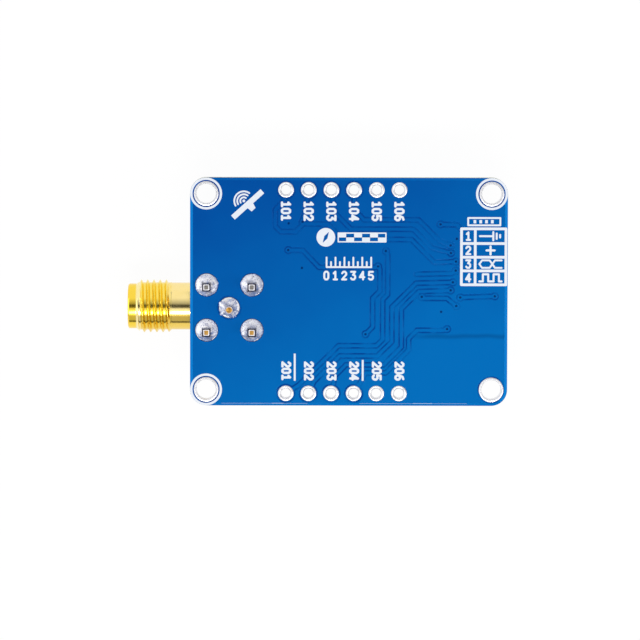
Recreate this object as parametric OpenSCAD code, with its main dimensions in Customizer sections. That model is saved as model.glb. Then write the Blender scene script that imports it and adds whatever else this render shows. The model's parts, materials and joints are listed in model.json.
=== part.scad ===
// Satellite receiver board with a right-angle antenna jack, a shielded receiver
// and a cable socket. The solder side faces up (+Z) and the parts hang below the
// board. The origin is the middle of the mounting-hole pattern on the solder-side
// face, +X points away from the jack. Sizes are in millimetres.

/* [Board] */
// Length of the board along X
board_l = 35.6; // [34:0.1:50]
// Width of the board along Y
board_w = 25.6; // [24:0.1:40]
// Thickness of the board
board_t = 1.6; // [0.8:0.1:2.4]
// Radius of the board's corners
corner_r = 1.8; // [0.5:0.1:3]
// Distance of the mounting holes from the board's edges
hole_inset = 1.8; // [1.6:0.1:3]
// Diameter of the mounting holes
hole_d = 2.2; // [2:0.1:2.4]
// Width of the metal ring round a mounting hole
hole_ring = 0.275; // [0.2:0.025:0.4]
// Thickness of the metal that lines the holes
plating_t = 0.05; // [0.02:0.01:0.1]

/* [Header holes] */
// Holes in each of the two header rows
header_count = 6; // [2:1:8]
// Distance between header holes
header_pitch = 2.54; // [2:0.01:3]
// Distance of the header rows from the board's long edges
header_inset = 1.37; // [1.2:0.01:2]
// Offset of the rows' middle from the board's middle
header_shift = -0.705; // [-1:0.005:1]
// Diameter of a header hole
header_d = 1.1; // [0.8:0.02:1.2]
// Width of the metal ring round a header hole
header_ring = 0.316; // [0.2:0.002:0.5]

/* [Antenna jack] */
// Distance of the jack's pin from the board's end
jack_inset = 4.4; // [4:0.1:6]
// Offset of the jack's holes from the board's middle
jack_shift = -1.79; // [-3:0.01:3]
// How far the jack sits off the middle of its holes
jack_play = 0.2; // [0:0.02:0.3]
// Spacing of the four ground legs, both ways
leg_pitch = 5.08; // [4.6:0.02:6]
// Width of a square ground leg
leg_w = 0.91; // [0.7:0.01:1.1]
// Height of the legs and the pin above the solder side
leg_out = 1.5; // [0.8:0.1:2.5]
// Metal of the block outside the legs
leg_margin = 0.18; // [0.1:0.02:0.6]
// Room between a leg's corner and its hole
leg_gap = 0.05; // [0.03:0.01:0.2]
// Diameter of the centre pin
pin_d = 0.85; // [0.6:0.05:1.1]
// Room between the centre pin and its hole
pin_gap = 0.12; // [0.05:0.01:0.3]
// Width of the metal ring round a jack hole
jack_ring = 0.4; // [0.25:0.05:0.5]
// Height of the barrel's axis above the block's foot
axis_h = 4; // [3.6:0.1:6]
// Chamfer along the block's outer edges
block_chamfer = 0.6; // [0.2:0.1:1]
// Distance of the barrel's tip from the pin
barrel_reach = 11.55; // [10:0.05:15]
// Diameter over the thread
thread_d = 6.14; // [5.6:0.01:6.3]
// Length of the thread
thread_l = 3.05; // [2:0.05:4]
// Step from the thread down to the nose
nose_step = 0.52; // [0.3:0.01:0.6]
// Length of the plain nose
nose_l = 0.95; // [0.5:0.05:1.5]
// Step from the thread down to the plain rear of the barrel
rear_step = 0.4; // [0.2:0.05:0.6]
// Chamfer round the mouth
tip_chamfer = 0.15; // [0.05:0.05:0.2]
// Wall of the barrel at the mouth
mouth_wall = 0.24; // [0.2:0.02:0.6]
// Depth of the mouth, down to the insulator
mouth_depth = 1.95; // [1:0.05:2.5]
// Seat that the mouth leaves round the insulator
seat_step = 0.26; // [0.1:0.02:0.4]
// Diameter of the insulator round the bent pin
pin_bore_d = 3.2; // [2.4:0.1:3.6]
// Diameter of the centre contact
contact_d = 1.27; // [1.1:0.01:1.5]
// Diameter of the hole in the centre contact
socket_d = 0.94; // [0.7:0.02:1]
// Depth of the hole in the centre contact
socket_depth = 2.6; // [1.5:0.1:3.5]
// Width of the slots between the contact's fingers
slot_w = 0.2; // [0.1:0.02:0.3]
// Length of the slots
slot_l = 2; // [1:0.1:3]
// Thickness of the cap behind the block
cap_t = 0.8; // [0.4:0.1:1]

/* [Solder joints] */
// Thickness of the solder on the metal ring
solder_t = 0.12; // [0.08:0.02:0.25]
// Rim of flat solder outside the cone
solder_rim = 0.1; // [0.05:0.01:0.15]
// Height of the solder up a leg, above the board
solder_h = 1.1; // [0.6:0.05:1.4]
// Solder left round a leg at the top of the joint
solder_skin = 0.08; // [0.04:0.02:0.15]

/* [Receiver] */
// Width of the receiver along X
receiver_w = 9.7; // [9:0.1:12]
// Length of the receiver along Y
receiver_l = 10.1; // [9.8:0.1:12]
// Place of the receiver's middle along X
receiver_x = -0.9; // [-2:0.1:1]
// Place of the receiver's middle along Y
receiver_y = 0.2; // [-2:0.1:2]
// Thickness of the receiver's carrier board
carrier_t = 0.8; // [0.5:0.1:1.2]
// Edge contacts on each side of the carrier
edge_count = 9; // [4:1:9]
// Distance between edge contacts
edge_pitch = 1.1; // [0.8:0.05:1.15]
// Radius of an edge contact's half hole
edge_r = 0.3; // [0.2:0.02:0.35]
// Rim of carrier left bare round the shield can
shield_rim = 0.45; // [0.4:0.05:0.6]
// Height of the shield can
shield_h = 1.6; // [1.3:0.1:2.5]
// Sheet thickness of the shield can
shield_t = 0.2; // [0.1:0.02:0.3]
// Outer corner radius of the shield can
shield_r = 0.5; // [0.35:0.05:1]
// Room between the parts in the can and its walls
shield_room = 0.6; // [0.4:0.1:0.8]
// Side of the square receiver chip
chip_w = 4.2; // [3:0.1:5]
// Height of the receiver chip
chip_h = 0.8; // [0.5:0.05:1]
// Size of the reference oscillator
oscillator = [2, 1.6, 0.7]; // [0.5:0.1:2.5]
// Size of the antenna filter
filter = [1.4, 1.1, 0.6]; // [0.5:0.1:2]

/* [Cable socket] */
// Contacts in the socket
contact_count = 4; // [2:1:5]
// Distance between contacts
contact_pitch = 1; // [0.8:0.05:1.25]
// Housing beyond the first and last contacts
socket_side = 1.5; // [1.2:0.1:2]
// Depth of the housing along X
socket_l = 4.25; // [3.5:0.05:5]
// Height of the housing
socket_h = 2.9; // [2.4:0.1:3.5]
// Distance of the housing's mouth from the board's end
socket_setback = 0.1; // [0:0.05:1]
// Offset of the socket from the board's middle
socket_shift = 3.85; // [2:0.05:5]
// Wall of the housing
socket_wall = 0.5; // [0.3:0.05:0.6]
// Back wall of the housing, which holds the contacts
socket_back = 1.1; // [0.6:0.1:1.6]
// Width of the two key slots in the housing
key_w = 0.6; // [0.4:0.05:0.8]
// Length of the key slots
key_l = 1.7; // [1:0.1:2]
// Width of a contact
blade_w = 0.3; // [0.2:0.02:0.4]
// Thickness of a contact
blade_t = 0.2; // [0.1:0.02:0.3]
// Height of the contacts above the board
blade_h = 1.35; // [1:0.05:1.6]
// Distance of the contacts' tips behind the mouth
blade_setback = 0.7; // [0.4:0.1:1.5]
// Distance of the contacts' legs behind the housing
blade_bend = 0.4; // [0.3:0.05:0.8]
// Length of a contact's foot
foot_l = 0.6; // [0.4:0.05:1]
// Length of an anchor tab along X
tab_l = 1.3; // [0.8:0.1:2]
// Height of an anchor tab
tab_h = 1.5; // [0.8:0.1:2]
// Length of an anchor tab's foot
tab_foot = 0.7; // [0.4:0.05:1]

/* [Small parts] */
// Length of a chip part
small_l = 1.6; // [1:0.1:2]
// Width of a chip part
small_w = 0.8; // [0.5:0.05:1.2]
// Length of a chip part's metal end
end_l = 0.32; // [0.2:0.02:0.5]
// How far the metal ends stand proud of the body
end_t = 0.03; // [0.02:0.01:0.05]
// Height of a chip capacitor or inductor
capacitor_h = 0.8; // [0.5:0.05:1.2]
// Height of a chip resistor
resistor_h = 0.45; // [0.3:0.05:0.6]
// Height of a lamp
lamp_h = 0.7; // [0.5:0.05:1]
// Height of a lamp's base
lamp_base = 0.3; // [0.2:0.05:0.4]
// Slope of a lamp's lens, as the run at each end
lens_run = 0.12; // [0.05:0.01:0.2]
// Room beside the receiver for its small parts
small_gap = 1.4; // [1.2:0.1:2]
// Distance between neighbouring small parts
small_pitch = 2.6; // [2.4:0.1:3]
// Distance of the lamps from the board's long edge
lamp_inset = 4.6; // [3:0.1:6]
// Distance of the outer lamp from the board's end
lamp_end = 5.4; // [4:0.1:7]

/* [Hidden] */
// Smoothness of round shapes
$fn = 64;

// Places on the board
hole_x = board_l / 2 - hole_inset;
hole_y = board_w / 2 - hole_inset;
header_y = board_w / 2 - header_inset;
jack_x = -board_l / 2 + jack_inset;
seat_z = -board_t - plating_t;

// Finished radii of the lined holes
hole_r = hole_d / 2;
header_r = header_d / 2;
leg_r = leg_w / 2;
leg_hole_r = norm([leg_r, leg_r + jack_play]) + leg_gap;
pin_r = pin_d / 2;
pin_hole_r = pin_r + jack_play + pin_gap;

// The jack's block and barrel
jack_y = jack_shift - jack_play;
axis_z = seat_z - axis_h;
block_w = leg_pitch + leg_w + 2 * leg_margin;
block_h = axis_h + block_w / 2;
thread_r = thread_d / 2;
nose_r = thread_r - nose_step;
rear_r = thread_r - rear_step;
mouth_r = nose_r - mouth_wall;
bore_r = mouth_r - seat_step;
contact_r = contact_d / 2;
pin_bore_r = pin_bore_d / 2;
insulator_l = barrel_reach - pin_bore_r - mouth_depth;

// The receiver's can
can_w = receiver_w - 2 * shield_rim;
can_l = receiver_l - 2 * shield_rim;
can_z = -board_t - carrier_t;
inner_x = can_w / 2 - shield_t - shield_room;
inner_y = can_l / 2 - shield_t - shield_room;

// The cable socket
socket_w = (contact_count - 1) * contact_pitch + 2 * socket_side;
socket_front = board_l / 2 - socket_setback;
socket_rear = socket_front - socket_l;

// Small parts: name, height, place and quarter turns
right_column = receiver_x + receiver_w / 2 + small_gap;
left_column = (jack_x + block_w / 2 + receiver_x - receiver_w / 2) / 2;
lamp_x = board_l / 2 - lamp_end;
lamp_y = -board_w / 2 + lamp_inset;
pull_up_x = socket_rear - blade_bend - foot_l - small_pitch;
SMALL_PARTS = [
    ["antenna_capacitor", capacitor_h, left_column, jack_shift, 0],
    ["bias_inductor", capacitor_h, left_column, jack_shift + small_pitch, 1],
    ["bypass_capacitor_1", capacitor_h, left_column, jack_shift + 2 * small_pitch, 1],
    ["bypass_capacitor_2", capacitor_h, right_column, receiver_y, 1],
    ["bypass_capacitor_3", capacitor_h, right_column, receiver_y + small_pitch, 1],
    ["pull_up_resistor_1", resistor_h, pull_up_x, socket_shift - small_pitch / 2, 0],
    ["pull_up_resistor_2", resistor_h, pull_up_x, socket_shift + small_pitch / 2, 0],
    ["lamp_resistor_1", resistor_h, lamp_x - small_pitch, lamp_y + small_pitch, 0],
    ["lamp_resistor_2", resistor_h, lamp_x, lamp_y + small_pitch, 0]
];
LAMPS = [
    ["power_lamp", lamp_x - small_pitch, lamp_y],
    ["pulse_lamp", lamp_x, lamp_y]
];
LEGS = [[-1, -1], [1, -1], [1, 1], [-1, 1]];

// A rectangle with round corners, centred
module rounded_rectangle(length, width, radius) {
    square([length - 2 * radius, width], center = true);
    square([length, width - 2 * radius], center = true);
    for (x = [-1, 1], y = [-1, 1])
        translate([x * (length / 2 - radius), y * (width / 2 - radius)])
            circle(radius);
}

// A box that hangs below height z, centred in X and Y
module hanging_box(size, z) {
    translate([-size[0] / 2, -size[1] / 2, z - size[2]])
        cube(size);
}

// The metal lining of a hole, with a flat ring on both faces of the board
module lining(radius, ring) {
    rotate_extrude()
        polygon([
            [radius, seat_z], [radius + ring, seat_z],
            [radius + ring, -board_t], [radius + plating_t, -board_t],
            [radius + plating_t, 0], [radius + ring, 0],
            [radius + ring, plating_t], [radius, plating_t]
        ]);
}

// Puts its children at the four mounting holes
module at_mounting_holes() {
    for (x = [-1, 1], y = [-1, 1])
        translate([x * hole_x, y * hole_y])
            children();
}

// Puts its children along one header row
module along_header(side) {
    for (i = [0:header_count - 1])
        translate([header_shift + (i - (header_count - 1) / 2) * header_pitch, side * header_y])
            children();
}

// Puts its children at one ground leg's hole
module at_leg_hole(leg) {
    translate([jack_x + leg[0] * leg_pitch / 2, jack_shift + leg[1] * leg_pitch / 2])
        children();
}

// Turns a shape's Z axis to +X along the jack's axis, from a distance before the pin
module along_barrel(before_pin) {
    translate([jack_x - before_pin, jack_y, axis_z])
        rotate([0, 90, 0])
            children();
}

// The outline that the board and its drilled holes share
module circuit_board() {
    color("royalblue")
        translate([0, 0, -board_t])
            linear_extrude(board_t)
                difference() {
                    rounded_rectangle(board_l, board_w, corner_r);
                    at_mounting_holes() circle(hole_r + plating_t);
                    for (side = [-1, 1])
                        along_header(side) circle(header_r + plating_t);
                    for (leg = LEGS)
                        at_leg_hole(leg) circle(leg_hole_r + plating_t);
                    translate([jack_x, jack_shift]) circle(pin_hole_r + plating_t);
                }
}

module mounting_hole_linings() {
    color("silver") at_mounting_holes() lining(hole_r, hole_ring);
}

module header_linings(side) {
    color("silver") along_header(side) lining(header_r, header_ring);
}

module jack_hole_linings() {
    color("silver") {
        for (leg = LEGS)
            at_leg_hole(leg) lining(leg_hole_r, jack_ring);
        translate([jack_x, jack_shift]) lining(pin_hole_r, jack_ring);
    }
}

// One square ground leg, from inside the block to its tip above the board
module ground_leg(leg) {
    translate([jack_x + leg[0] * leg_pitch / 2 - leg_r, jack_y + leg[1] * leg_pitch / 2 - leg_r, seat_z])
        cube([leg_w, leg_w, leg_out - seat_z]);
}

// The block's section across the barrel, with its outer edges chamfered
module block_section() {
    half = block_w / 2;
    foot = axis_h;
    polygon([
        [-half, foot], [half, foot],
        [half, block_chamfer - half], [half - block_chamfer, -half],
        [block_chamfer - half, -half], [-half, block_chamfer - half]
    ]);
}

// The barrel's half section, from the tip to the block
module barrel_section() {
    thread_start = nose_l + nose_step;
    thread_end = thread_start + thread_l;
    polygon([
        [0, 0], [nose_r - tip_chamfer, 0], [nose_r, tip_chamfer],
        [nose_r, nose_l], [thread_r, thread_start], [thread_r, thread_end],
        [rear_r, thread_end + rear_step], [rear_r, barrel_reach], [0, barrel_reach]
    ]);
}

module jack_shell() {
    color("goldenrod")
        difference() {
            union() {
                translate([jack_x - block_w / 2, jack_y, axis_z])
                    rotate([90, 0, 90])
                        linear_extrude(block_w) block_section();
                along_barrel(barrel_reach)
                    rotate_extrude() barrel_section();
                for (leg = LEGS)
                    ground_leg(leg);
            }
            along_barrel(barrel_reach) {
                cylinder(r = bore_r, h = barrel_reach + block_w);
                translate([0, 0, -mouth_depth]) cylinder(r = mouth_r, h = 2 * mouth_depth);
            }
            translate([jack_x, jack_y, axis_z])
                cylinder(r = pin_bore_r, h = 2 * axis_h);
        }
}

module jack_insulator() {
    color("white")
        along_barrel(barrel_reach - mouth_depth)
            difference() {
                cylinder(r = bore_r, h = insulator_l);
                translate([0, 0, -insulator_l / 2]) cylinder(r = contact_r, h = 2 * insulator_l);
            }
}

module jack_pin_insulator() {
    color("white")
        translate([jack_x, jack_y, axis_z + bore_r])
            difference() {
                cylinder(r = pin_bore_r, h = axis_h - bore_r);
                translate([0, 0, -axis_h]) cylinder(r = pin_r, h = 3 * axis_h);
            }
}

// The upright pin that passes through the board
module centre_pin() {
    translate([jack_x, jack_y, axis_z])
        cylinder(r = pin_r, h = leg_out - axis_z);
}

module jack_contact() {
    color("gold") {
        along_barrel(barrel_reach - mouth_depth)
            difference() {
                cylinder(r = contact_r, h = barrel_reach - mouth_depth + contact_r);
                translate([0, 0, -socket_depth]) cylinder(d = socket_d, h = 2 * socket_depth);
                for (turn = [0, 90])
                    rotate([0, 0, turn])
                        translate([-contact_d, -slot_w / 2, -slot_l])
                            cube([2 * contact_d, slot_w, 2 * slot_l]);
            }
        centre_pin();
    }
}

module jack_rear_cap() {
    color("goldenrod")
        along_barrel(cap_t - block_w / 2)
            cylinder(r = bore_r, h = cap_t);
}

// One joint: solder in the hole, a skin on the ring and a hollow-sided cone up the leg
module solder_joint(hole, place, leg_reach) {
    steps = 6;
    base_r = hole + jack_ring;
    cone_r = base_r - jack_play - solder_rim;
    top_r = leg_reach + solder_skin;
    translate([place[0], place[1], seat_z])
        cylinder(r = hole, h = plating_t - seat_z);
    translate([place[0], place[1], plating_t])
        cylinder(r = base_r, h = solder_t);
    translate([place[0], place[1] - jack_play, 0])
        rotate_extrude()
            polygon(concat(
                [[0, plating_t], [cone_r, plating_t]],
                [for (i = [0:steps])
                    [top_r + (cone_r - top_r) * pow(1 - i / steps, 2),
                     plating_t + solder_t + (solder_h - plating_t - solder_t) * i / steps]],
                [[0, solder_h]]
            ));
}

module ground_solder(leg) {
    place = [jack_x + leg[0] * leg_pitch / 2, jack_shift + leg[1] * leg_pitch / 2];
    color("lightgray")
        difference() {
            solder_joint(leg_hole_r, place, norm([leg_r, leg_r]));
            ground_leg(leg);
        }
}

module signal_solder() {
    color("lightgray")
        difference() {
            solder_joint(pin_hole_r, [jack_x, jack_shift], pin_r);
            centre_pin();
        }
}

// Puts its children at each of the receiver's edge contacts
module at_edge_contacts() {
    for (side = [-1, 1], i = [0:edge_count - 1])
        translate([receiver_x + side * receiver_w / 2,
                   receiver_y + (i - (edge_count - 1) / 2) * edge_pitch])
            children();
}

module receiver_carrier() {
    color("darkgreen")
        translate([0, 0, can_z])
            linear_extrude(carrier_t)
                difference() {
                    translate([receiver_x, receiver_y])
                        square([receiver_w, receiver_l], center = true);
                    at_edge_contacts() circle(edge_r);
                }
}

module receiver_solder() {
    color("lightgray")
        at_edge_contacts()
            translate([0, 0, can_z]) cylinder(r = edge_r, h = carrier_t);
}

module receiver_shield() {
    color("silver")
        translate([receiver_x, receiver_y, can_z - shield_h])
            difference() {
                linear_extrude(shield_h) rounded_rectangle(can_w, can_l, shield_r);
                translate([0, 0, shield_t])
                    linear_extrude(shield_h)
                        rounded_rectangle(can_w - 2 * shield_t, can_l - 2 * shield_t, shield_r - shield_t);
            }
}

// A part in the can, set into one corner of the room there
module part_in_can(size, side) {
    translate([receiver_x + side[0] * (inner_x - size[0] / 2),
               receiver_y + side[1] * (inner_y - size[1] / 2), 0])
        hanging_box(size, can_z);
}

module receiver_chip() {
    color("dimgray") part_in_can([chip_w, chip_w, chip_h], [1, -1]);
}

module reference_oscillator() {
    color("silver") part_in_can(oscillator, [-1, 1]);
}

module antenna_filter() {
    color("beige") part_in_can(filter, [-1, -1]);
}

// Turns a section drawn as X and height above the board into a strip along Y
module strip_along_y(width) {
    translate([0, width / 2, -board_t])
        rotate([90, 0, 0])
            linear_extrude(width)
                mirror([0, 1]) children();
}

// The bent section of one contact: blade, leg and foot
module contact_section() {
    low = blade_h - blade_t / 2;
    high = blade_h + blade_t / 2;
    leg = socket_rear - blade_bend;
    tip = socket_front - blade_setback;
    polygon([
        [tip, high], [leg, high], [leg, blade_t], [leg - foot_l, blade_t],
        [leg - foot_l, 0], [leg + blade_t, 0], [leg + blade_t, low], [tip, low]
    ]);
}

module socket_contact(i) {
    color("gold")
        translate([0, socket_shift + (i - (contact_count + 1) / 2) * contact_pitch, 0])
            strip_along_y(blade_w) contact_section();
}

module socket_housing() {
    cavity = socket_l - socket_back;
    color("ivory")
        difference() {
            translate([socket_rear, socket_shift - socket_w / 2, -board_t - socket_h])
                cube([socket_l, socket_w, socket_h]);
            translate([socket_rear + socket_back, socket_shift - socket_w / 2 + socket_wall,
                       -board_t - socket_h + socket_wall])
                cube([2 * cavity, socket_w - 2 * socket_wall, socket_h - 2 * socket_wall]);
            for (side = [-1, 1])
                translate([socket_front - key_l, socket_shift + side * socket_w / 4 - key_w / 2,
                           -board_t - socket_h - socket_wall])
                    cube([2 * key_l, key_w, 3 * socket_wall]);
            for (i = [1:contact_count])
                socket_contact(i);
        }
}

// A bent tab beside the housing, soldered down to hold the socket
module socket_anchor(side) {
    color("silver")
        translate([socket_front - tab_l - blade_setback, socket_shift + side * socket_w / 2, -board_t])
            rotate([90, 0, 90])
                linear_extrude(tab_l)
                    polygon([
                        [0, 0], [side * tab_foot, 0], [side * tab_foot, -blade_t],
                        [side * blade_t, -blade_t], [side * blade_t, -tab_h], [0, -tab_h]
                    ]);
}

// A chip part with metal ends, which stand a little proud of its body
module small_part(part) {
    height = part[1];
    color(height == resistor_h ? "dimgray" : "burlywood")
        translate([part[2], part[3], 0])
            rotate([0, 0, 90 * part[4]]) {
                hanging_box([small_l - end_l, small_w - 2 * end_t, height - end_t], -board_t);
                for (side = [-1, 1])
                    translate([side * (small_l - end_l) / 2, 0, 0])
                        hanging_box([end_l, small_w, height], -board_t);
            }
}

// A lamp: a flat base with a slope-ended lens on it
module lamp(part) {
    color("honeydew")
        translate([part[1], part[2], 0]) {
            hanging_box([small_l, small_w, lamp_base], -board_t);
            strip_along_y(small_w)
                polygon([
                    [end_l - small_l / 2, lamp_base / 2], [small_l / 2 - end_l, lamp_base / 2],
                    [small_l / 2 - end_l, lamp_base], [small_l / 2 - end_l - lens_run, lamp_h],
                    [end_l + lens_run - small_l / 2, lamp_h], [end_l - small_l / 2, lamp_base]
                ]);
        }
}

circuit_board();
mounting_hole_linings();
header_linings(1);  // upper_header_linings
header_linings(-1);  // lower_header_linings
jack_hole_linings();
jack_shell();
jack_insulator();
jack_pin_insulator();
jack_contact();
jack_rear_cap();
signal_solder();
for (i = [1:len(LEGS)])
    ground_solder(LEGS[i - 1]);
receiver_carrier();
receiver_solder();
receiver_shield();
receiver_chip();
reference_oscillator();
antenna_filter();
socket_housing();
for (i = [1:contact_count])
    socket_contact(i);
socket_anchor(-1);  // socket_anchor_1
socket_anchor(1);  // socket_anchor_2
for (part = SMALL_PARTS)
    small_part(part);
for (part = LAMPS)
    lamp(part);
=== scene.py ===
"""Looks of a satellite receiver board: mask, traces, print, solder joints, turned jack and small parts."""
import json
import math

import bmesh
import bpy
import numpy as np
from mathutils import Matrix, Vector, noise
from mathutils.geometry import delaunay_2d_cdt


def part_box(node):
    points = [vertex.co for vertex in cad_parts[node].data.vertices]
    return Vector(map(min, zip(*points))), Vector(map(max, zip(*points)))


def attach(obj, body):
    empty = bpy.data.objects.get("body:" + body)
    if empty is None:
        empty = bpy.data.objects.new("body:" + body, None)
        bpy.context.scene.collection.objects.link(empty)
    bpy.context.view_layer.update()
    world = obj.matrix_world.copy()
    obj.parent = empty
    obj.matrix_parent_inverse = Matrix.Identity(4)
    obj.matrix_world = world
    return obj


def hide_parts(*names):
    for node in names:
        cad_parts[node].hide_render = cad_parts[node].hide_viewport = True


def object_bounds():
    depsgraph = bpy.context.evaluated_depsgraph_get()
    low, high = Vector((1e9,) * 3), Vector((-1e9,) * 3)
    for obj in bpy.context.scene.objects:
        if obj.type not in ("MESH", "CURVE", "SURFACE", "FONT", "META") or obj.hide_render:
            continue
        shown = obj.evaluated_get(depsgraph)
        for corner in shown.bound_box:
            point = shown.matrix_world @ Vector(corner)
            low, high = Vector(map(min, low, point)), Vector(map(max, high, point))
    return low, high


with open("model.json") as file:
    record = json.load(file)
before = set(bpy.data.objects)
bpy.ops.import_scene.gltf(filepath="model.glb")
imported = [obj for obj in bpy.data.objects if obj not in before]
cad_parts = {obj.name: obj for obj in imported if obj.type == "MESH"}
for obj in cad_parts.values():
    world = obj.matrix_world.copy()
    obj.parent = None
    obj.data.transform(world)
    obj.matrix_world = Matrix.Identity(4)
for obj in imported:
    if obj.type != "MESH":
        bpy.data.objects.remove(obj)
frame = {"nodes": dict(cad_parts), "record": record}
CAD_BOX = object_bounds()

# The part's shapes are in millimetres and are brought to metres when a piece is made;
# the floor, the lamps and the camera are in metres
MM = 0.001
TINY = 1e-9
# Points closer than this are one point, in a finished piece and in a flat region
PIECE_MERGE = 1e-4
SHEET_MERGE = 1e-5
# Steps round a plain hole
HOLE_STEPS = 64
WHITE = (1, 1, 1, 1)


def box_mm(node):
    """Lowest and highest corner of a CAD node."""
    low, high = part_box(node)
    return low / MM, high / MM


# Places and sizes that the frame gives
MOUNTS = {mount["name"]: mount for mount in frame["record"]["mounts"]}
BOARD_LOW, BOARD_HIGH = box_mm("circuit_board")
BACK_Z = BOARD_HIGH.z
FRONT_Z = BOARD_LOW.z
FACE_Z = {1: BACK_Z, -1: FRONT_Z}
PLATING = box_mm("mounting_hole_linings")[1].z

HOLE_DIMS = MOUNTS["mounting_holes"]["dims"]
HOLE_R = HOLE_DIMS["hole_r_mm"]
HOLE_X = HOLE_DIMS["spacing_x_mm"] / 2
HOLE_Y = HOLE_DIMS["spacing_y_mm"] / 2
HOLES = [(-HOLE_X, HOLE_Y), (HOLE_X, HOLE_Y), (-HOLE_X, -HOLE_Y), (HOLE_X, -HOLE_Y)]
HOLE_RING_R = box_mm("mounting_hole_linings")[1].x - HOLE_X


def header_pads(mount):
    """Hole centres of one header row, from the jack's end."""
    dims = MOUNTS[mount]["dims"]
    middle = Vector(MOUNTS[mount]["pos_m"]) / MM
    first = middle.x - (dims["count"] - 1) / 2 * dims["spacing_x_mm"]
    return [(first + i * dims["spacing_x_mm"], middle.y) for i in range(dims["count"])]


UPPER_PADS = header_pads("upper_header")
LOWER_PADS = header_pads("lower_header")
PADS = UPPER_PADS + LOWER_PADS
HEADER_R = MOUNTS["upper_header"]["dims"]["hole_r_mm"]
PAD_R = (box_mm("upper_header_linings")[1].y - box_mm("upper_header_linings")[0].y) / 2

JOINTS = ["ground_solder_1", "ground_solder_2", "ground_solder_3", "ground_solder_4", "signal_solder"]
AXIS = Vector(MOUNTS["antenna_thread"]["pos_m"]) / MM
SHELL_LOW, SHELL_HIGH = box_mm("jack_shell")
TIP_X = SHELL_LOW.x
BLOCK_W = SHELL_HIGH.y - SHELL_LOW.y
BLOCK_FRONT = SHELL_HIGH.x - BLOCK_W


def joint_place(node):
    """Centre and radius of a solder joint's pad."""
    low, high = box_mm(node)
    return (low + high) / 2, (high.x - low.x) / 2


# How far the jack sits off the middle of its holes
JACK_PLAY = AXIS.y - joint_place("signal_solder")[0].y


def leg_place(node):
    """Centre of the leg or pin in a solder joint."""
    return joint_place(node)[0] + Vector((0, JACK_PLAY, 0))


def srgb(red, green, blue):
    """Linear colour of an 8-bit screen colour."""
    def linear(value):
        value /= 255
        return value / 12.92 if value <= 0.04045 else ((value + 0.055) / 1.055) ** 2.4
    return (linear(red), linear(green), linear(blue), 1)


class Nodes:
    """Makes and joins the nodes of one node tree."""

    def __init__(self, tree):
        self.tree = tree

    def feed(self, socket, value):
        """Joins a socket to another node's output, or sets it to a fixed value."""
        if isinstance(value, bpy.types.NodeSocket):
            self.tree.links.new(value, socket)
        else:
            socket.default_value = value

    def node(self, kind, inputs=None, **settings):
        made = self.tree.nodes.new("ShaderNode" + kind)
        for key, value in settings.items():
            setattr(made, key, value)
        for socket, value in (inputs or {}).items():
            self.feed(made.inputs[socket], value)
        return made

    def math(self, operation, first, second=0.0):
        return self.node("Math", {0: first, 1: second}, operation=operation).outputs["Value"]

    def plus(self, first, second):
        return self.math("ADD", first, second)

    def times(self, first, second):
        return self.math("MULTIPLY", first, second)

    def highest(self, first, *others):
        for other in others:
            first = self.math("MAXIMUM", first, other)
        return first

    def spread(self, source, low, high, start=0.0, end=1.0):
        """Maps a value from the range start to end onto low to high."""
        ranges = {"Value": source, "From Min": start, "From Max": end, "To Min": low, "To Max": high}
        return self.node("MapRange", ranges).outputs["Result"]

    def part(self, vector, axis):
        """One axis of a vector."""
        return self.node("SeparateXYZ", {"Vector": vector}).outputs[axis]

    def sight(self):
        """1 for what the camera sees straight or in metal and glass."""
        rays = self.node("LightPath").outputs
        return self.highest(rays["Is Camera Ray"], rays["Is Glossy Ray"], rays["Is Transmission Ray"])


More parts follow.
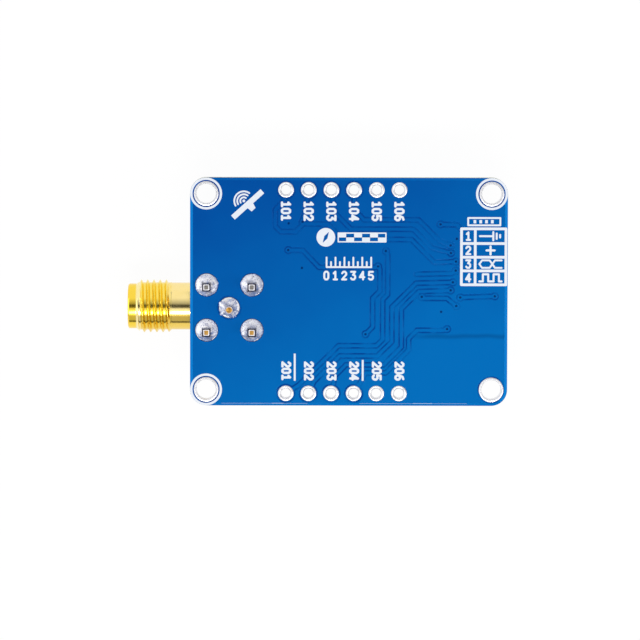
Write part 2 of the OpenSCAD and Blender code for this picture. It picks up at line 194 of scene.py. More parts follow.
class Finish(Nodes):
    """A node material with one Principled shader, built step by step."""

    # A wave texture has this many radians a unit
    WAVE_RATE = 20

    def __init__(self, name, **sockets):
        self.material = bpy.data.materials.new(name)
        self.material.use_nodes = True
        super().__init__(self.material.node_tree)
        self.shader = self.tree.nodes["Principled BSDF"]
        for socket, value in sockets.items():
            self.shade(socket.replace("_", " "), value)

    def shade(self, socket, value):
        self.feed(self.shader.inputs[socket], value)

    def surface(self, colour, roughness, relief, depth, strength=1.0):
        """Sets colour, roughness and a relief of at most the depth in millimetres; gives the material."""
        bump = self.node("Bump", {"Distance": depth * MM, "Strength": strength, "Height": relief})
        self.shade("Base Color", colour)
        self.shade("Roughness", roughness)
        self.shade("Normal", bump.outputs["Normal"])
        return self.material

    def place(self, stretch=(1, 1, 1), kind="Object"):
        coordinates = self.node("TexCoord").outputs[kind]
        return self.node("Mapping", {"Scale": stretch, "Vector": coordinates}).outputs["Vector"]

    def at(self, axis):
        """Place along one axis of the frame, in metres."""
        return self.part(self.place(), axis)

    def across(self, axis, low, high, start, end):
        """Goes from low to high between two places on an axis, in millimetres."""
        return self.spread(self.at(axis), low, high, start * MM, end * MM)

    def noise(self, size, stretch=(1, 1, 1), detail=3.0):
        """Noise from 0 to 1 whose blobs are about the given size in millimetres."""
        inputs = {"Scale": 1 / (size * MM), "Detail": detail, "Vector": self.place(stretch)}
        return self.node("TexNoise", inputs).outputs["Fac"]

    def patches(self, size, low, high, start=0.0, end=1.0, detail=3.0):
        """Noise of a given size, mapped onto low to high."""
        return self.spread(self.noise(size, detail=detail), low, high, start, end)

    def rings(self, pitch, axis):
        """Fine turned lines along one axis, a pitch apart in millimetres."""
        scale = 2 * math.pi / (self.WAVE_RATE * pitch * MM)
        inputs = {"Scale": scale, "Distortion": 0.6, "Vector": self.place()}
        return self.node("TexWave", inputs, bands_direction=axis).outputs["Fac"]

    def attribute(self, name):
        return self.node("Attribute", attribute_name=name).outputs["Fac"]

    def mix(self, share, first, second):
        """A colour between two, each of them an 8-bit screen colour or another node's output."""
        made = self.node("Mix", {"Factor": share}, data_type="RGBA")
        sockets = [socket for socket in made.inputs if socket.type == "RGBA"]
        for socket, value in zip(sockets, (first, second)):
            self.feed(socket, srgb(*value) if isinstance(value, tuple) else value)
        return [socket for socket in made.outputs if socket.type == "RGBA"][0]

    def layers(self, colour, *layers):
        """Lays further tones over a colour, each by its own share."""
        for share, tone in layers:
            colour = self.mix(share, colour, tone)
        return colour

    def facing(self, axis):
        """How far the surface faces along one axis of the frame, either way."""
        return self.math("ABSOLUTE", self.part(self.node("NewGeometry").outputs["Normal"], axis))


# Painted light: the mask's tone is painted lighter towards the lower right, changing by these shares a metre
# along the board
LIT_TONE_ALONG_X = 14.0
LIT_TONE_ALONG_Y = -35.0
STREAK_Y = -4.95
STREAK_SWAY = 0.25


def mask_streak(finish):
    """A faint dark streak across the solder side's right end."""
    sway = finish.patches(3, -STREAK_SWAY * MM, STREAK_SWAY * MM, detail=1)
    away = finish.plus(finish.plus(finish.at("Y"), sway), -STREAK_Y * MM)
    core = finish.spread(finish.math("ABSOLUTE", away), 0.45, 0, 0.06 * MM, 0.36 * MM)
    right_end = finish.across("X", 0, 1, 6.5, 9)
    solder_side = finish.across("Z", 0, 1, -0.5, 0)
    return finish.times(core, finish.times(right_end, solder_side))


def mask_finish():
    """Glossy blue solder mask, darker in the grooves as painted shade, darker in the vias, paler over bare
    laminate, and lighter towards the lower right as painted light.
    """
    finish = Finish("solder_mask", Specular_IOR_Level=0.04)
    # Painted light: a lean from darker upper left to lighter lower right
    painted_light_lean = finish.plus(finish.times(finish.at("X"), LIT_TONE_ALONG_X), finish.times(finish.at("Y"), LIT_TONE_ALONG_Y))
    cover = finish.plus(painted_light_lean, finish.patches(7, 0.42, 0.8, detail=2))
    blue = finish.mix(finish.spread(cover, 0, 1), (0, 79, 163), (0, 110, 189))
    # Painted shade: the grooves beside the copper runs are painted darker, a little unevenly
    groove = finish.times(finish.attribute("groove"), finish.patches(1.6, 0.15, 1, 0.35, 0.6, detail=2))
    blue = finish.layers(blue, (groove, (0, 70, 150)), (finish.attribute("via"), (0, 30, 88)),
                         (mask_streak(finish), (0, 70, 132)), (finish.attribute("band"), (10, 128, 212)))
    return finish.surface(blue, finish.patches(0.8, 0.18, 0.27), finish.noise(0.35), 0.002, 0.5)


def board_finish():
    """Faces under the mask painted dark blue as shade, seen only in the bare rings round pads and joints, and
    edges of pale glass laminate with its layers showing.
    """
    finish = Finish("laminate", Specular_IOR_Level=0.35)
    plies = finish.rings(0.2, "Z")
    pale = finish.mix(plies, (202, 208, 176), (219, 223, 195))
    # Painted shade: faces up or down are dark blue, seen only in the bare rings round pads and joints
    face = finish.spread(finish.facing("Z"), 0, 1, 0.4, 0.6)
    colour = finish.layers(pale, (finish.patches(0.25, 0, 0.4), (184, 193, 158)), (face, (0, 48, 106)))
    return finish.surface(colour, finish.patches(0.3, 0.5, 0.75), plies, 0.01, 0.5)


def ink_finish():
    """White print, a little uneven in thickness."""
    finish = Finish("print_ink", Specular_IOR_Level=0.3)
    cover = finish.noise(0.5)
    colour = finish.mix(cover, (228, 235, 248), (243, 247, 252))
    return finish.surface(colour, finish.spread(cover, 0.45, 0.65), finish.noise(0.12), 0.006, 0.6)


def metal_finish(name, light, dark, smooth, rough, grain, depth, stretch=(1, 1, 1)):
    """Bare metal whose colour, gloss and surface vary with a grain of a given size."""
    finish = Finish(name, Metallic=1.0)
    spots = finish.noise(grain, stretch)
    colour = finish.mix(finish.noise(grain * 3, stretch), light, dark)
    return finish.surface(colour, finish.spread(spots, smooth, rough), spots, depth)


def solder_finish():
    """Frozen solder: bright, speckled, dull where it cooled slowly, and painted dark round the leg as shade.
    """
    finish = Finish("solder", Metallic=1.0)
    speckle = finish.patches(0.13, 0, 1, 0.54, 0.66, detail=4)
    pits = finish.patches(0.32, 0, 1, 0.68, 0.73, detail=2)
    colour = finish.mix(finish.noise(0.5), (255, 255, 255), (236, 235, 245))
    # The last layer is painted shade, in the crevice round the leg and as a smear beside it
    colour = finish.layers(colour, (speckle, (160, 156, 180)), (pits, (84, 80, 96)),
                           (finish.attribute("leg_shade"), (62, 60, 78)))
    return finish.surface(colour, finish.patches(0.3, 0.36, 0.56), finish.noise(0.16, detail=4), 0.026)


def contact_finish():
    """Worn gold, silvery where solder has wet the pin round its tip."""
    finish = Finish("contact_gold", Metallic=1.0)
    pin = leg_place("signal_solder")
    aside = finish.plus(finish.at("X"), -pin.x * MM)
    ahead = finish.plus(finish.at("Y"), -pin.y * MM)
    from_axis = finish.math("SQRT", finish.plus(finish.times(aside, aside), finish.times(ahead, ahead)))
    away = finish.plus(from_axis, finish.patches(0.3, -0.1 * MM, 0.1 * MM))
    wet = finish.times(finish.spread(away, 0, 1, 0.31 * MM, 0.37 * MM), finish.across("Z", 0, 1, 0.1, 0.3))
    gold = finish.mix(finish.patches(0.3, 0, 1, 0.35, 0.65), (226, 178, 92), (136, 92, 40))
    colour = finish.mix(wet, gold, (196, 194, 204))
    return finish.surface(colour, finish.patches(0.12, 0.35, 0.55), finish.noise(0.12), 0.02)


def turned_gold():
    """Gold plate over turned brass: deep at the nose, deeper below as a painted reflection, pale on the
    chamfer as a painted highlight, wavy on the block.
    """
    finish = Finish("turned_gold", Metallic=1.0)

    def from_tip(low, high, start, end):
        return finish.across("X", low, high, TIP_X + start, TIP_X + end)

    nose = from_tip(1, 0, 0.85, 0.95)
    thread = from_tip(1, 0, 4.2, 5.1)
    # Painted highlight: the chamfer between nose and thread is painted paler
    chamfer_highlight = finish.times(from_tip(0, 1, 0.85, 1.0), from_tip(0.9, 0, 1.35, 1.5))
    # Painted reflection: the barrel's lower side is painted a deeper gold
    underside_reflection = finish.across("Y", 0.75, 0, AXIS.y - 0.9, AXIS.y - 0.3)
    cast = finish.across("X", 0, 1, BLOCK_FRONT - 0.1, BLOCK_FRONT)
    plate = finish.mix(finish.noise(1.2), (254, 233, 166), (252, 224, 140))
    block_gold = finish.mix(finish.noise(0.9), (250, 217, 116), (242, 200, 88))
    colour = finish.layers(plate, (thread, (251, 224, 100)), (underside_reflection, (238, 200, 72)), (nose, (251, 215, 74)),
                           (chamfer_highlight, (253, 238, 176)), (cast, block_gold))
    lines = finish.times(finish.rings(0.06, "X"), 0.05)
    waves = finish.times(finish.noise(0.9, (1, 1, 0.3)), cast)
    return finish.surface(colour, finish.patches(0.5, 0.1, 0.2), finish.plus(lines, waves), 0.02)


def moulded(name, light, dark, smooth, rough, grain=0.25, depth=0.006):
    """Moulded or pressed plastic with a fine skin texture."""
    finish = Finish(name, Specular_IOR_Level=0.45)
    colour = finish.mix(finish.noise(grain * 6), light, dark)
    return finish.surface(colour, finish.patches(grain * 2, smooth, rough), finish.noise(grain), depth)


def chip_part(name, body, edge, axis):
    """A chip part: ceramic body, tinned ends over a share of its length on one axis."""
    end_share = 0.2
    soft = 0.008
    finish = Finish(name)
    along = finish.part(finish.place(kind="Generated"), axis)
    from_middle = finish.math("ABSOLUTE", finish.plus(along, -0.5))
    metal = finish.spread(from_middle, 0, 1, 0.5 - end_share - soft, 0.5 - end_share + soft)
    finish.shade("Metallic", metal)
    colour = finish.mix(metal, finish.mix(finish.noise(0.3), body, edge), (214, 214, 220))
    return finish.surface(colour, finish.patches(0.2, 0.28, 0.5), finish.noise(0.15), 0.008)


MASK = mask_finish()
BOARD = board_finish()
INK = ink_finish()
SOLDER = solder_finish()
GOLD = turned_gold()
TIN = metal_finish("tinned_pads", (246, 246, 248), (226, 226, 232), 0.3, 0.46, 0.3, 0.012)
TINNED = metal_finish("tinned_legs", (248, 247, 250), (226, 225, 232), 0.3, 0.5, 0.2, 0.02)
SHEARED = metal_finish("sheared_tips", (150, 146, 140), (116, 112, 108), 0.3, 0.5, 0.15, 0.02)
WORN_GOLD = metal_finish("worn_gold", (222, 178, 98), (140, 98, 48), 0.35, 0.55, 0.12, 0.02)
# Painted shade: the dark ring on each leg's bevel just under its tip
LEG_RIM_SHADE = metal_finish("painted_leg_rim_shade", (60, 57, 70), (36, 34, 44), 0.4, 0.6, 0.12, 0.01)
CAN = metal_finish("nickel_silver", (222, 221, 218), (178, 178, 179), 0.2, 0.42, 0.09, 0.005, (1, 0.03, 1))
CAP_GOLD = metal_finish("pressed_cap", (246, 208, 112), (228, 184, 84), 0.22, 0.36, 0.3, 0.01)
PTFE = moulded("ptfe", (240, 240, 236), (230, 229, 222), 0.4, 0.55)
CARRIER = moulded("carrier_mask", (14, 66, 46), (10, 52, 38), 0.25, 0.4)
BLACK_CASE = moulded("chip_case", (38, 38, 40), (28, 28, 31), 0.5, 0.7)
HOUSING = moulded("socket_plastic", (236, 228, 206), (226, 216, 190), 0.38, 0.52)


def new_object(name, data):
    """Puts a new object into the scene."""
    made = bpy.data.objects.new(name, data)
    bpy.context.scene.collection.objects.link(made)
    return made


def full_turn(steps):
    """Angles of equal steps round a circle."""
    return [2 * math.pi * i / steps for i in range(steps)]


class Form:
    """Points in millimetres and faces that become one mesh piece."""

    def __init__(self):
        self.points = []
        self.faces = []
        self.groups = []
        self.values = {}

    def add(self, points, faces, group=0):
        start = len(self.points)
        self.points += [tuple(point) for point in points]
        self.faces += [[start + i for i in face] for face in faces]
        self.groups += [group] * len(faces)

    def loft(self, rings, group=0, wrap=False, caps=True):
        """Joins rings of equal length with quads; wrap closes the last ring to the first."""
        count = len(rings[0])
        points = [point for ring in rings for point in ring]
        faces = []
        pairs = len(rings) if wrap else len(rings) - 1
        for row in range(pairs):
            low = row * count
            high = (row + 1) % len(rings) * count
            for i in range(count):
                j = (i + 1) % count
                faces.append([low + i, low + j, high + j, high + i])
        if caps and not wrap:
            faces.append(list(range(count))[::-1])
            faces.append([(len(rings) - 1) * count + i for i in range(count)])
        self.add(points, faces, group)

    def revolve(self, profile, centre, steps):
        """Turns a closed profile of radius and height round an upright axis."""
        turns = full_turn(steps)
        rings = [[(centre[0] + r * math.cos(a), centre[1] + r * math.sin(a), z) for a in turns]
                 for r, z in profile]
        self.loft(rings, wrap=True)

    def piece(self, name, slot, materials, stands_for=(), crease=35, tidy=True):
        """Makes the mesh object, hangs it under the root empty and hides the CAD nodes that it stands for."""
        mesh = bpy.data.meshes.new(name)
        mesh.from_pydata(self.points, [], self.faces)
        for material in materials:
            mesh.materials.append(material)
        mesh.polygons.foreach_set("material_index", self.groups)
        for key, values in self.values.items():
            mesh.attributes.new(key, "FLOAT", "POINT").data.foreach_set("value", values)
        mesh.transform(Matrix.Scale(MM, 4))
        if tidy:
            work = bmesh.new()
            work.from_mesh(mesh)
            bmesh.ops.remove_doubles(work, verts=work.verts, dist=PIECE_MERGE * MM)
            bmesh.ops.recalc_face_normals(work, faces=work.faces)
            work.to_mesh(mesh)
            work.free()
            mesh.shade_smooth()
            mesh.set_sharp_from_angle(angle=math.radians(crease))
        made = new_object(name, mesh)
        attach(made, "root")
        if stands_for:
            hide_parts(*stands_for)


class Shape:
    """A flat shape with one outline."""

    def loops(self):
        return [self.loop()]


class Capsule(Shape):
    """A straight stroke with round ends, or a disc where both ends are one point."""

    def __init__(self, start, end, radius):
        self.start = np.array(start[:2], float)
        self.end = np.array(end[:2], float)
        self.radius = radius

    def distance(self, points):
        line = self.end - self.start
        length = max(line @ line, TINY)
        share = np.clip((points - self.start) @ line / length, 0, 1)
        closest = self.start + share[:, None] * line
        return np.linalg.norm(points - closest, axis=1) - self.radius

    def loop(self, grow=0.0):
        radius = self.radius + grow
        line = self.end - self.start
        heading = math.atan2(line[1], line[0])
        # A wide round end has more steps than a narrow one
        steps = max(6, int(8 * math.sqrt(radius * 4)))
        points = []
        for middle, first in ((self.end, heading - math.pi / 2), (self.start, heading + math.pi / 2)):
            for i in range(steps + 1):
                turn = first + math.pi * i / steps
                points.append((middle[0] + radius * math.cos(turn), middle[1] + radius * math.sin(turn)))
        if line @ line < TINY:
            points = points[:steps] + points[steps + 1:-1]
        return points


def disc(centre, radius):
    return Capsule(centre, centre, radius)


class Convex(Shape):
    """A convex polygon with its corners counter-clockwise."""

    def __init__(self, corners):
        self.corners = [np.array(corner, float) for corner in corners]

    def distance(self, points):
        sides = []
        for first, second in zip(self.corners, self.corners[1:] + self.corners[:1]):
            line = (second - first) / np.linalg.norm(second - first)
            sides.append((points - first) @ np.array([line[1], -line[0]]))
        return np.max(sides, axis=0)

    def loop(self, grow=0.0):
        points = []
        count = len(self.corners)
        for i, corner in enumerate(self.corners):
            before = corner - self.corners[i - 1]
            after = self.corners[(i + 1) % count] - corner
            before = np.array([before[1], -before[0]]) / np.linalg.norm(before)
            after = np.array([after[1], -after[0]]) / np.linalg.norm(after)
            points.append(tuple(corner + grow * (before + after) / (1 + before @ after)))
        return points


class CutOut:
    """A shape with another taken out of it."""

    def __init__(self, shape, hole):
        self.shape = shape
        self.hole = hole

    def distance(self, points):
        return np.maximum(self.shape.distance(points), -self.hole.distance(points))

    def loops(self):
        return self.shape.loops() + self.hole.loops()


def ring(centre, inner, outer):
    return CutOut(disc(centre, outer), disc(centre, inner))


def rectangle(x0, y0, x1, y1):
    return Convex([(x0, y0), (x1, y0), (x1, y1), (x0, y1)])


def turned_rectangle(centre, length, width, turn):
    """A rectangle turned about its centre, in degrees."""
    along = np.array([math.cos(math.radians(turn)), math.sin(math.radians(turn))])
    across = np.array([-along[1], along[0]])
    signs = [(-1, -1), (1, -1), (1, 1), (-1, 1)]
    return Convex([np.array(centre) + along * length / 2 * i + across * width / 2 * j for i, j in signs])


def strokes(points, width):
    """Capsules along a line of points."""
    return [Capsule(first, second, width / 2) for first, second in zip(points, points[1:])]


def frame_lines(x0, y0, x1, y1, width):
    """The four sides of a rectangle as strokes."""
    return strokes([(x0, y0), (x1, y0), (x1, y1), (x0, y1), (x0, y0)], width)


def plus_sign(x, y, half, width):
    return strokes([(x - half, y), (x + half, y)], width) + strokes([(x, y - half), (x, y + half)], width)


def arc(centre, radius, first, last, steps):
    """Points along an arc between two angles in degrees."""
    turns = [math.radians(first + (last - first) * i / steps) for i in range(steps + 1)]
    return [(centre[0] + radius * math.cos(a), centre[1] + radius * math.sin(a)) for a in turns]


def nearest(shapes, points):
    """Distance from each point to the nearest of the shapes, less than 0 inside one."""
    return np.min([shape.distance(points) for shape in shapes], axis=0)


def sheet(form, loops, inside, height, base, facing):
    """Adds the flat region that a test keeps, cut along closed loops, with walls down to a base height.

    Facing 1 is the board's solder side and -1 the other one. Returns the region's points, and how many
    more stand at the foot of the walls."""
    corners = []
    edges = []
    for loop in loops:
        start = len(corners)
        corners += [Vector(point) for point in loop]
        edges += [(start + i, start + (i + 1) % len(loop)) for i in range(len(loop))]
    flat, _, triangles, _, _, _ = delaunay_2d_cdt(corners, edges, [], 0, SHEET_MERGE)
    flat = np.array([tuple(point) for point in flat])
    triangles = np.array(triangles)
    triangles = triangles[inside(flat[triangles].mean(axis=1))]
    heights = height(flat)
    once = set()
    for triangle in triangles:
        for i in range(3):
            edge = (int(triangle[i]), int(triangle[(i + 1) % 3]))
            if edge[::-1] in once:
                once.remove(edge[::-1])
            else:
                once.add(edge)
    rim = sorted({i for edge in once for i in edge})
    below = {point: len(flat) + i for i, point in enumerate(rim)}
    points = [(x, y, z) for (x, y), z in zip(flat, heights)]
    points += [(flat[i][0], flat[i][1], base) for i in rim]
    faces = [[int(i) for i in triangle] for triangle in triangles]
    faces += [[a, below[a], below[b], b] for a, b in sorted(once)]
    if facing < 0:
        faces = [face[::-1] for face in faces]
    form.add(points, faces)
    return flat, len(rim)


# Solder mask: copper runs stand up under it, with grooves beside them
CORNER_R = 1.8
CORNER_STEPS = 12
MASK_TOP = 0.035
MASK_FLOOR = 0.006
SLOPE = 0.03
RUN_HALF = 0.16
GAP = 0.17
BAND = 0.3
LONG_SIDE_BAND = 0.2
VIA_R = 0.3
DIMPLE_R = 0.14
DIMPLE_DEPTH = 0.8
EDGE_INSET = 0.01
MIDDLE_X = BOARD_HIGH.x - EDGE_INSET - CORNER_R
MIDDLE_Y = BOARD_HIGH.y - EDGE_INSET - CORNER_R
# Where thick mask hides most of the grooves
FAINT_LEFT, FAINT_RIGHT = 7.4, 11.0
FAINT_FOOT, FAINT_TOP = 2.6, 7.0
FAINT_SHARE = 0.4


def outline_distance(points):
    """Distance to the board's outline, less than 0 on the board."""
    past = np.abs(points) - np.array([MIDDLE_X, MIDDLE_Y])
    return np.linalg.norm(np.maximum(past, 0), axis=1) + np.minimum(past.max(axis=1), 0) - CORNER_R


def outline_loop(inset):
    """The board's outline, moved inward."""
    points = []
    for x, y, first in ((1, 1, 0), (-1, 1, 90), (-1, -1, 180), (1, -1, 270)):
        points += arc((x * MIDDLE_X, y * MIDDLE_Y), CORNER_R - inset, first, first + 90, CORNER_STEPS)
    return points


def mask_skin(name, side, runs, vias, islands, openings):
    """One face's solder mask as a mesh: runs and islands stand between grooves, openings stay bare."""
    base = FACE_Z[side]
    nets = [stroke for run in runs for stroke in strokes(run, 2 * RUN_HALF)]
    run_ends = [end for run in runs for end in run]
    nets += [disc(via, VIA_R) for via in vias if via in run_ends] + islands
    dimples = [disc(via, DIMPLE_R) for via in vias]
    loops = [outline_loop(0), outline_loop(BAND - SLOPE), outline_loop(BAND + SLOPE)]
    loops += [net.loop(grow) for net in nets for grow in (-SLOPE, SLOPE, GAP - SLOPE, GAP + SLOPE)]
    loops += [dimple.loop(grow) for dimple in dimples for grow in (-SLOPE, SLOPE)]
    loops += [loop for opening in openings for loop in opening.loops()]

    def inside(points):
        return (outline_distance(points) < 0) & (nearest(openings, points) > 0)

    def depths(points):
        groove = np.interp(nearest(nets, points), [-SLOPE, SLOPE, GAP - SLOPE, GAP + SLOPE], [0, 1, 1, 0])
        dimple = np.interp(nearest(dimples, points), [-SLOPE, SLOPE], [DIMPLE_DEPTH, 0])
        band = np.interp(-outline_distance(points), [BAND - SLOPE, BAND + SLOPE], [1, 0])
        x, y = points.T
        band *= np.where(np.abs(y) > BOARD_HIGH.y - 2 * BAND, LONG_SIDE_BAND, 1)
        buried = (x > FAINT_LEFT) & (x < FAINT_RIGHT) & (y > FAINT_FOOT) & (y < FAINT_TOP)
        return groove * np.where(buried, FAINT_SHARE, 1), dimple, band

    def height(points):
        lowered = np.max(depths(points), axis=0)
        return base + side * (MASK_TOP - (MASK_TOP - MASK_FLOOR) * lowered)

    form = Form()
    flat, rim = sheet(form, loops, inside, height, base, side)
    groove, dimple, band = depths(flat)
    # The groove attribute marks where the mask is painted darker, as shade in the grooves
    form.values["groove"] = np.concatenate([groove * (1 - band), np.zeros(rim)])
    form.values["via"] = np.concatenate([dimple, np.zeros(rim)])
    form.values["band"] = np.concatenate([band, np.ones(rim)])
    form.piece(name, "board", [MASK], tidy=False)


VIAS = [
    (-6.76, 7.68), (-5.2, 7.86), (-6.8, 4.68), (-5.26, 2.68), (4.14, 4.6), (3.27, 2.88), (10.25, 7.6),
    (11.39, 5.24), (11.44, 4.39), (12.09, 5.98), (12.0, 3.44), (11.98, 2.42), (11.66, 1.1), (11.42, 0.2),
    (8.18, -0.54), (12.5, -0.6), (16.37, -0.45), (12.05, -1.55), (10.36, -2.22), (11.03, -4.15),
    (1.88, -4.75),
]
BACK_RUNS = [
    [(3.27, 2.88), (3.47, 2.55), (3.47, 0.1), (2.67, -0.7), (2.67, -3.95), (1.88, -4.75)],
    [(4.14, 4.6), (4.35, 4.2), (4.35, -0.3), (3.8, -0.85), (3.8, -5.35), (3.1, -6.05), (-1.15, -6.05),
     (-5.6, -10.5), LOWER_PADS[0]],
    [(11.66, 1.1), (7.55, 1.0), (4.83, -1.7), (4.83, -5.6), (3.2, -7.2), (-1.0, -7.2), (-3.9, -10.1),
     LOWER_PADS[1]],
    [(11.42, 0.2), (7.85, 0.05), (5.9, -1.9), (5.9, -6.2), (3.9, -8.2), (-0.3, -8.2), (-1.5, -9.4),
     LOWER_PADS[2]],
    [(11.03, -4.15), (10.6, -4.3), (7.65, -4.3), (6.72, -5.25), (6.72, -6.5), (4.15, -9.1), (1.9, -9.1),
     LOWER_PADS[3]],
    [(8.18, -0.54), (8.4, -0.7), (11.0, -0.7), (12.05, -1.55)],
    [(12.5, -0.6), (16.37, -0.45)],
    [(-6.8, 4.68), (-5.2, 4.68), (-3.35, 2.75), (3.0, 2.75), (3.27, 2.88)],
    [UPPER_PADS[0], (-7.3, 10.2), (-8.25, 9.25), (-8.25, 7.35), (-7.65, 6.75), (-6.0, 6.75), (-5.1, 7.65),
     (-2.4, 7.6), (-0.7, 5.9), (7.0, 5.9), (9.6, 3.3), (12.0, 3.44)],
    [UPPER_PADS[1], (-5.2, 7.86)],
    [UPPER_PADS[2], (-1.6, 8.9), (0.2, 7.05), (7.2, 7.05), (9.3, 4.95), (11.44, 4.39)],
    [UPPER_PADS[3], (0.57, 9.2), (1.7, 8.1), (7.8, 8.1), (10.2, 5.7), (11.39, 5.24)],
    [(10.25, 7.6), (12.1, 7.55), (12.5, 7.1)],
    [(7.6, 2.0), (11.5, 2.1), (11.98, 2.42)],
]
ISLAND_R = PAD_R + 0.06
OPENING_ROOM = 0.03
# The wider bare ring round the joints shows the board's face, painted dark as shade
JOINT_ROOM = 0.08

openings = [disc(pad, PAD_R + OPENING_ROOM) for pad in PADS]
openings += [disc(hole, HOLE_RING_R + OPENING_ROOM) for hole in HOLES]
for joint in JOINTS:
    middle, radius = joint_place(joint)
    openings.append(disc(middle, radius + JOINT_ROOM))
signal_opening = openings[-1]
islands = [disc(pad, ISLAND_R) for pad in UPPER_PADS[:4] + LOWER_PADS[:4]]
islands += [disc(hole, HOLE_RING_R) for hole in HOLES]
# The signal joint's opening also gets a groove round it, painted darker as shade like the others
mask_skin("solder_mask_back", 1, BACK_RUNS, VIAS, islands + [signal_opening], openings)


# Print: plain numbers, rings, a table and simple signs
INK_TOP = 0.055
LABEL_STROKE = 0.26
SIGN_STROKE = 0.22
ADVANCE = 0.84
DIGITS = {
    "0": [[(0.17, 0), (0.4, 0), (0.55, 0.2), (0.55, 0.8), (0.4, 1), (0.17, 1), (0.02, 0.8), (0.02, 0.2),
           (0.17, 0)]],
    "1": [[(0.08, 0.78), (0.3, 1), (0.3, 0)], [(0.08, 0), (0.52, 0)]],
    "2": [[(0.02, 0.8), (0.17, 1), (0.4, 1), (0.55, 0.82), (0.55, 0.62), (0.02, 0), (0.55, 0)]],
    "3": [[(0.02, 1), (0.55, 1), (0.27, 0.6), (0.4, 0.6), (0.55, 0.42), (0.55, 0.18), (0.4, 0), (0.17, 0),
           (0.02, 0.15)]],
    "4": [[(0.42, 0), (0.42, 1), (0.0, 0.3), (0.58, 0.3)]],
    "5": [[(0.53, 1), (0.06, 1), (0.02, 0.55), (0.38, 0.6), (0.55, 0.42), (0.55, 0.18), (0.4, 0), (0.17, 0),
           (0.02, 0.12)]],
    "6": [[(0.48, 1), (0.2, 0.9), (0.02, 0.5), (0.02, 0.18), (0.17, 0), (0.4, 0), (0.55, 0.18), (0.55, 0.4),
           (0.4, 0.56), (0.17, 0.56), (0.02, 0.4)]],
}


def number(text, start, height, width, along=(1, 0), up=(0, 1)):
    """Strokes of a plain number from its lower left corner, read along one direction."""
    made = []
    along = np.array(along, float)
    up = np.array(up, float)
    for place, digit in enumerate(text):
        for line in DIGITS[digit]:
            points = [np.array(start) + height * (along * (place * ADVANCE + u) + up * v) for u, v in line]
            made += strokes(points, width)
    return made


def print_sheet(name, side, shapes):
    """One face's print as a thin mesh on the mask."""
    base = FACE_Z[side]
    form = Form()
    sheet(form, [loop for shape in shapes for loop in shape.loops()],
          lambda points: nearest(shapes, points) < 0,
          lambda points: np.full(len(points), base + side * INK_TOP),
          base + side * MASK_FLOOR, side)
    form.piece(name, "board", [INK], tidy=False)


def pin_numbers(first, pads, aside, top, height, up):
    """Numbers beside a row of header holes, read towards the board's lower edge."""
    made = []
    for i, pad in enumerate(pads):
        made += number(str(first + i), (pad[0] + aside, top), height, LABEL_STROKE, (0, -1), up)
    return made


def satellite():
    """A satellite: a slanted bar of two panels, a body beside it and three waves."""
    made = [turned_rectangle((-11.35, 9.79), 4.43, 0.62, 42)]
    made.append(Convex([(-11.4, 9.4), (-10.9, 9.0), (-10.47, 9.4), (-10.76, 9.96)]))
    waves = (-11.78, 10.18)
    made.append(disc(waves, 0.16))
    for radius in (0.4, 0.74, 1.07):
        made += strokes(arc(waves, radius, 55, 210, 14), 0.19)
    return made


def compass_and_scale():
    """A compass disc with its needle left bare, and a map scale of alternating blocks."""
    needle = Convex([(-2.94, 5.5), (-2.42, 5.98), (-2.24, 6.74), (-2.76, 6.26)])
    made = [CutOut(disc((-2.59, 6.12), 1.05), needle)]
    left, right = -1.2, 4.14
    low, high = 5.62, 6.6
    blocks = 6
    step = (right - left) / blocks
    for i in range(blocks):
        low_y, high_y = (low, (low + high) / 2) if i % 2 else ((low + high) / 2, high)
        made.append(rectangle(left + i * step, low_y, left + (i + 1) * step, high_y))
    return made + frame_lines(left, low, right, high, 0.14)


def small_ruler():
    """A millimetre rule: long and short ticks over plain numbers."""
    length = 5
    left = -2.5
    foot = 2.78
    made = strokes([(left, foot), (left + length, foot)], 0.2)
    for i in range(2 * length + 1):
        top = 3.85 if i % 2 == 0 else 3.35
        made += strokes([(left + i / 2, foot), (left + i / 2, top)], 0.2)
    for i in range(length + 1):
        made += number(str(i), (left + i - 0.27, 1.4), 0.86, SIGN_STROKE)
    return made


def socket_table():
    """A table of the cable socket's contacts: numbers, and a sign for each line."""
    left, column, right = 12.61, 14.15, 17.59
    rows = [7.11, 5.46, 3.92, 2.39, 0.83]
    line = 0.3
    made = []
    for y in rows:
        made += strokes([(left, y), (right, y)], line)
    for x in (left, column, right):
        made += strokes([(x, rows[0]), (x, rows[-1])], line)
    middles = [(high + low) / 2 for high, low in zip(rows, rows[1:])]
    for i, middle in enumerate(middles):
        made += number(str(i + 1), (13.13, middle - 0.42), 0.84, SIGN_STROKE)
    ground, supply, data, clock = middles
    centre = (column + right) / 2
    stem = centre + 0.3
    made += strokes([(centre - 1.2, ground), (stem, ground)], SIGN_STROKE)
    for i, half in enumerate((0.46, 0.3, 0.14)):
        made += strokes([(stem + 0.38 * i, ground - half), (stem + 0.38 * i, ground + half)], SIGN_STROKE)
    made += plus_sign(centre, supply, 0.45, 0.24)
    eye = [(-1.25, 0.0), (-0.95, 0.42), (-0.1, 0.42), (0.2, 0.0), (0.5, 0.42), (1.25, 0.42)]
    for side in (-1, 1):
        made += strokes([(centre + x, data + side * y) for x, y in eye], 0.2)
    wave = [(-1.25, -0.4), (-0.85, -0.4), (-0.85, 0.4), (-0.25, 0.4), (-0.25, -0.4), (0.35, -0.4),
            (0.35, 0.4), (0.95, 0.4), (0.95, -0.4), (1.25, -0.4)]
    return made + strokes([(centre + x, clock + y) for x, y in wave], SIGN_STROKE)


def socket_sign():
    """A plug sign over the table: an outlined housing with four contacts."""
    pitch = 0.65
    made = frame_lines(13.35, 7.5, 16.95, 8.32, 0.2)
    for i in range(4):
        made.append(rectangle(13.95 + pitch * i, 7.72, 14.25 + pitch * i, 8.1))
    return made


# Bars beside two of the lower numbers: place and top
BAR_HALF = 0.11
BAR_FOOT = -10.0
BARS = [(-6.05, -6.95), (1.58, -7.65)]
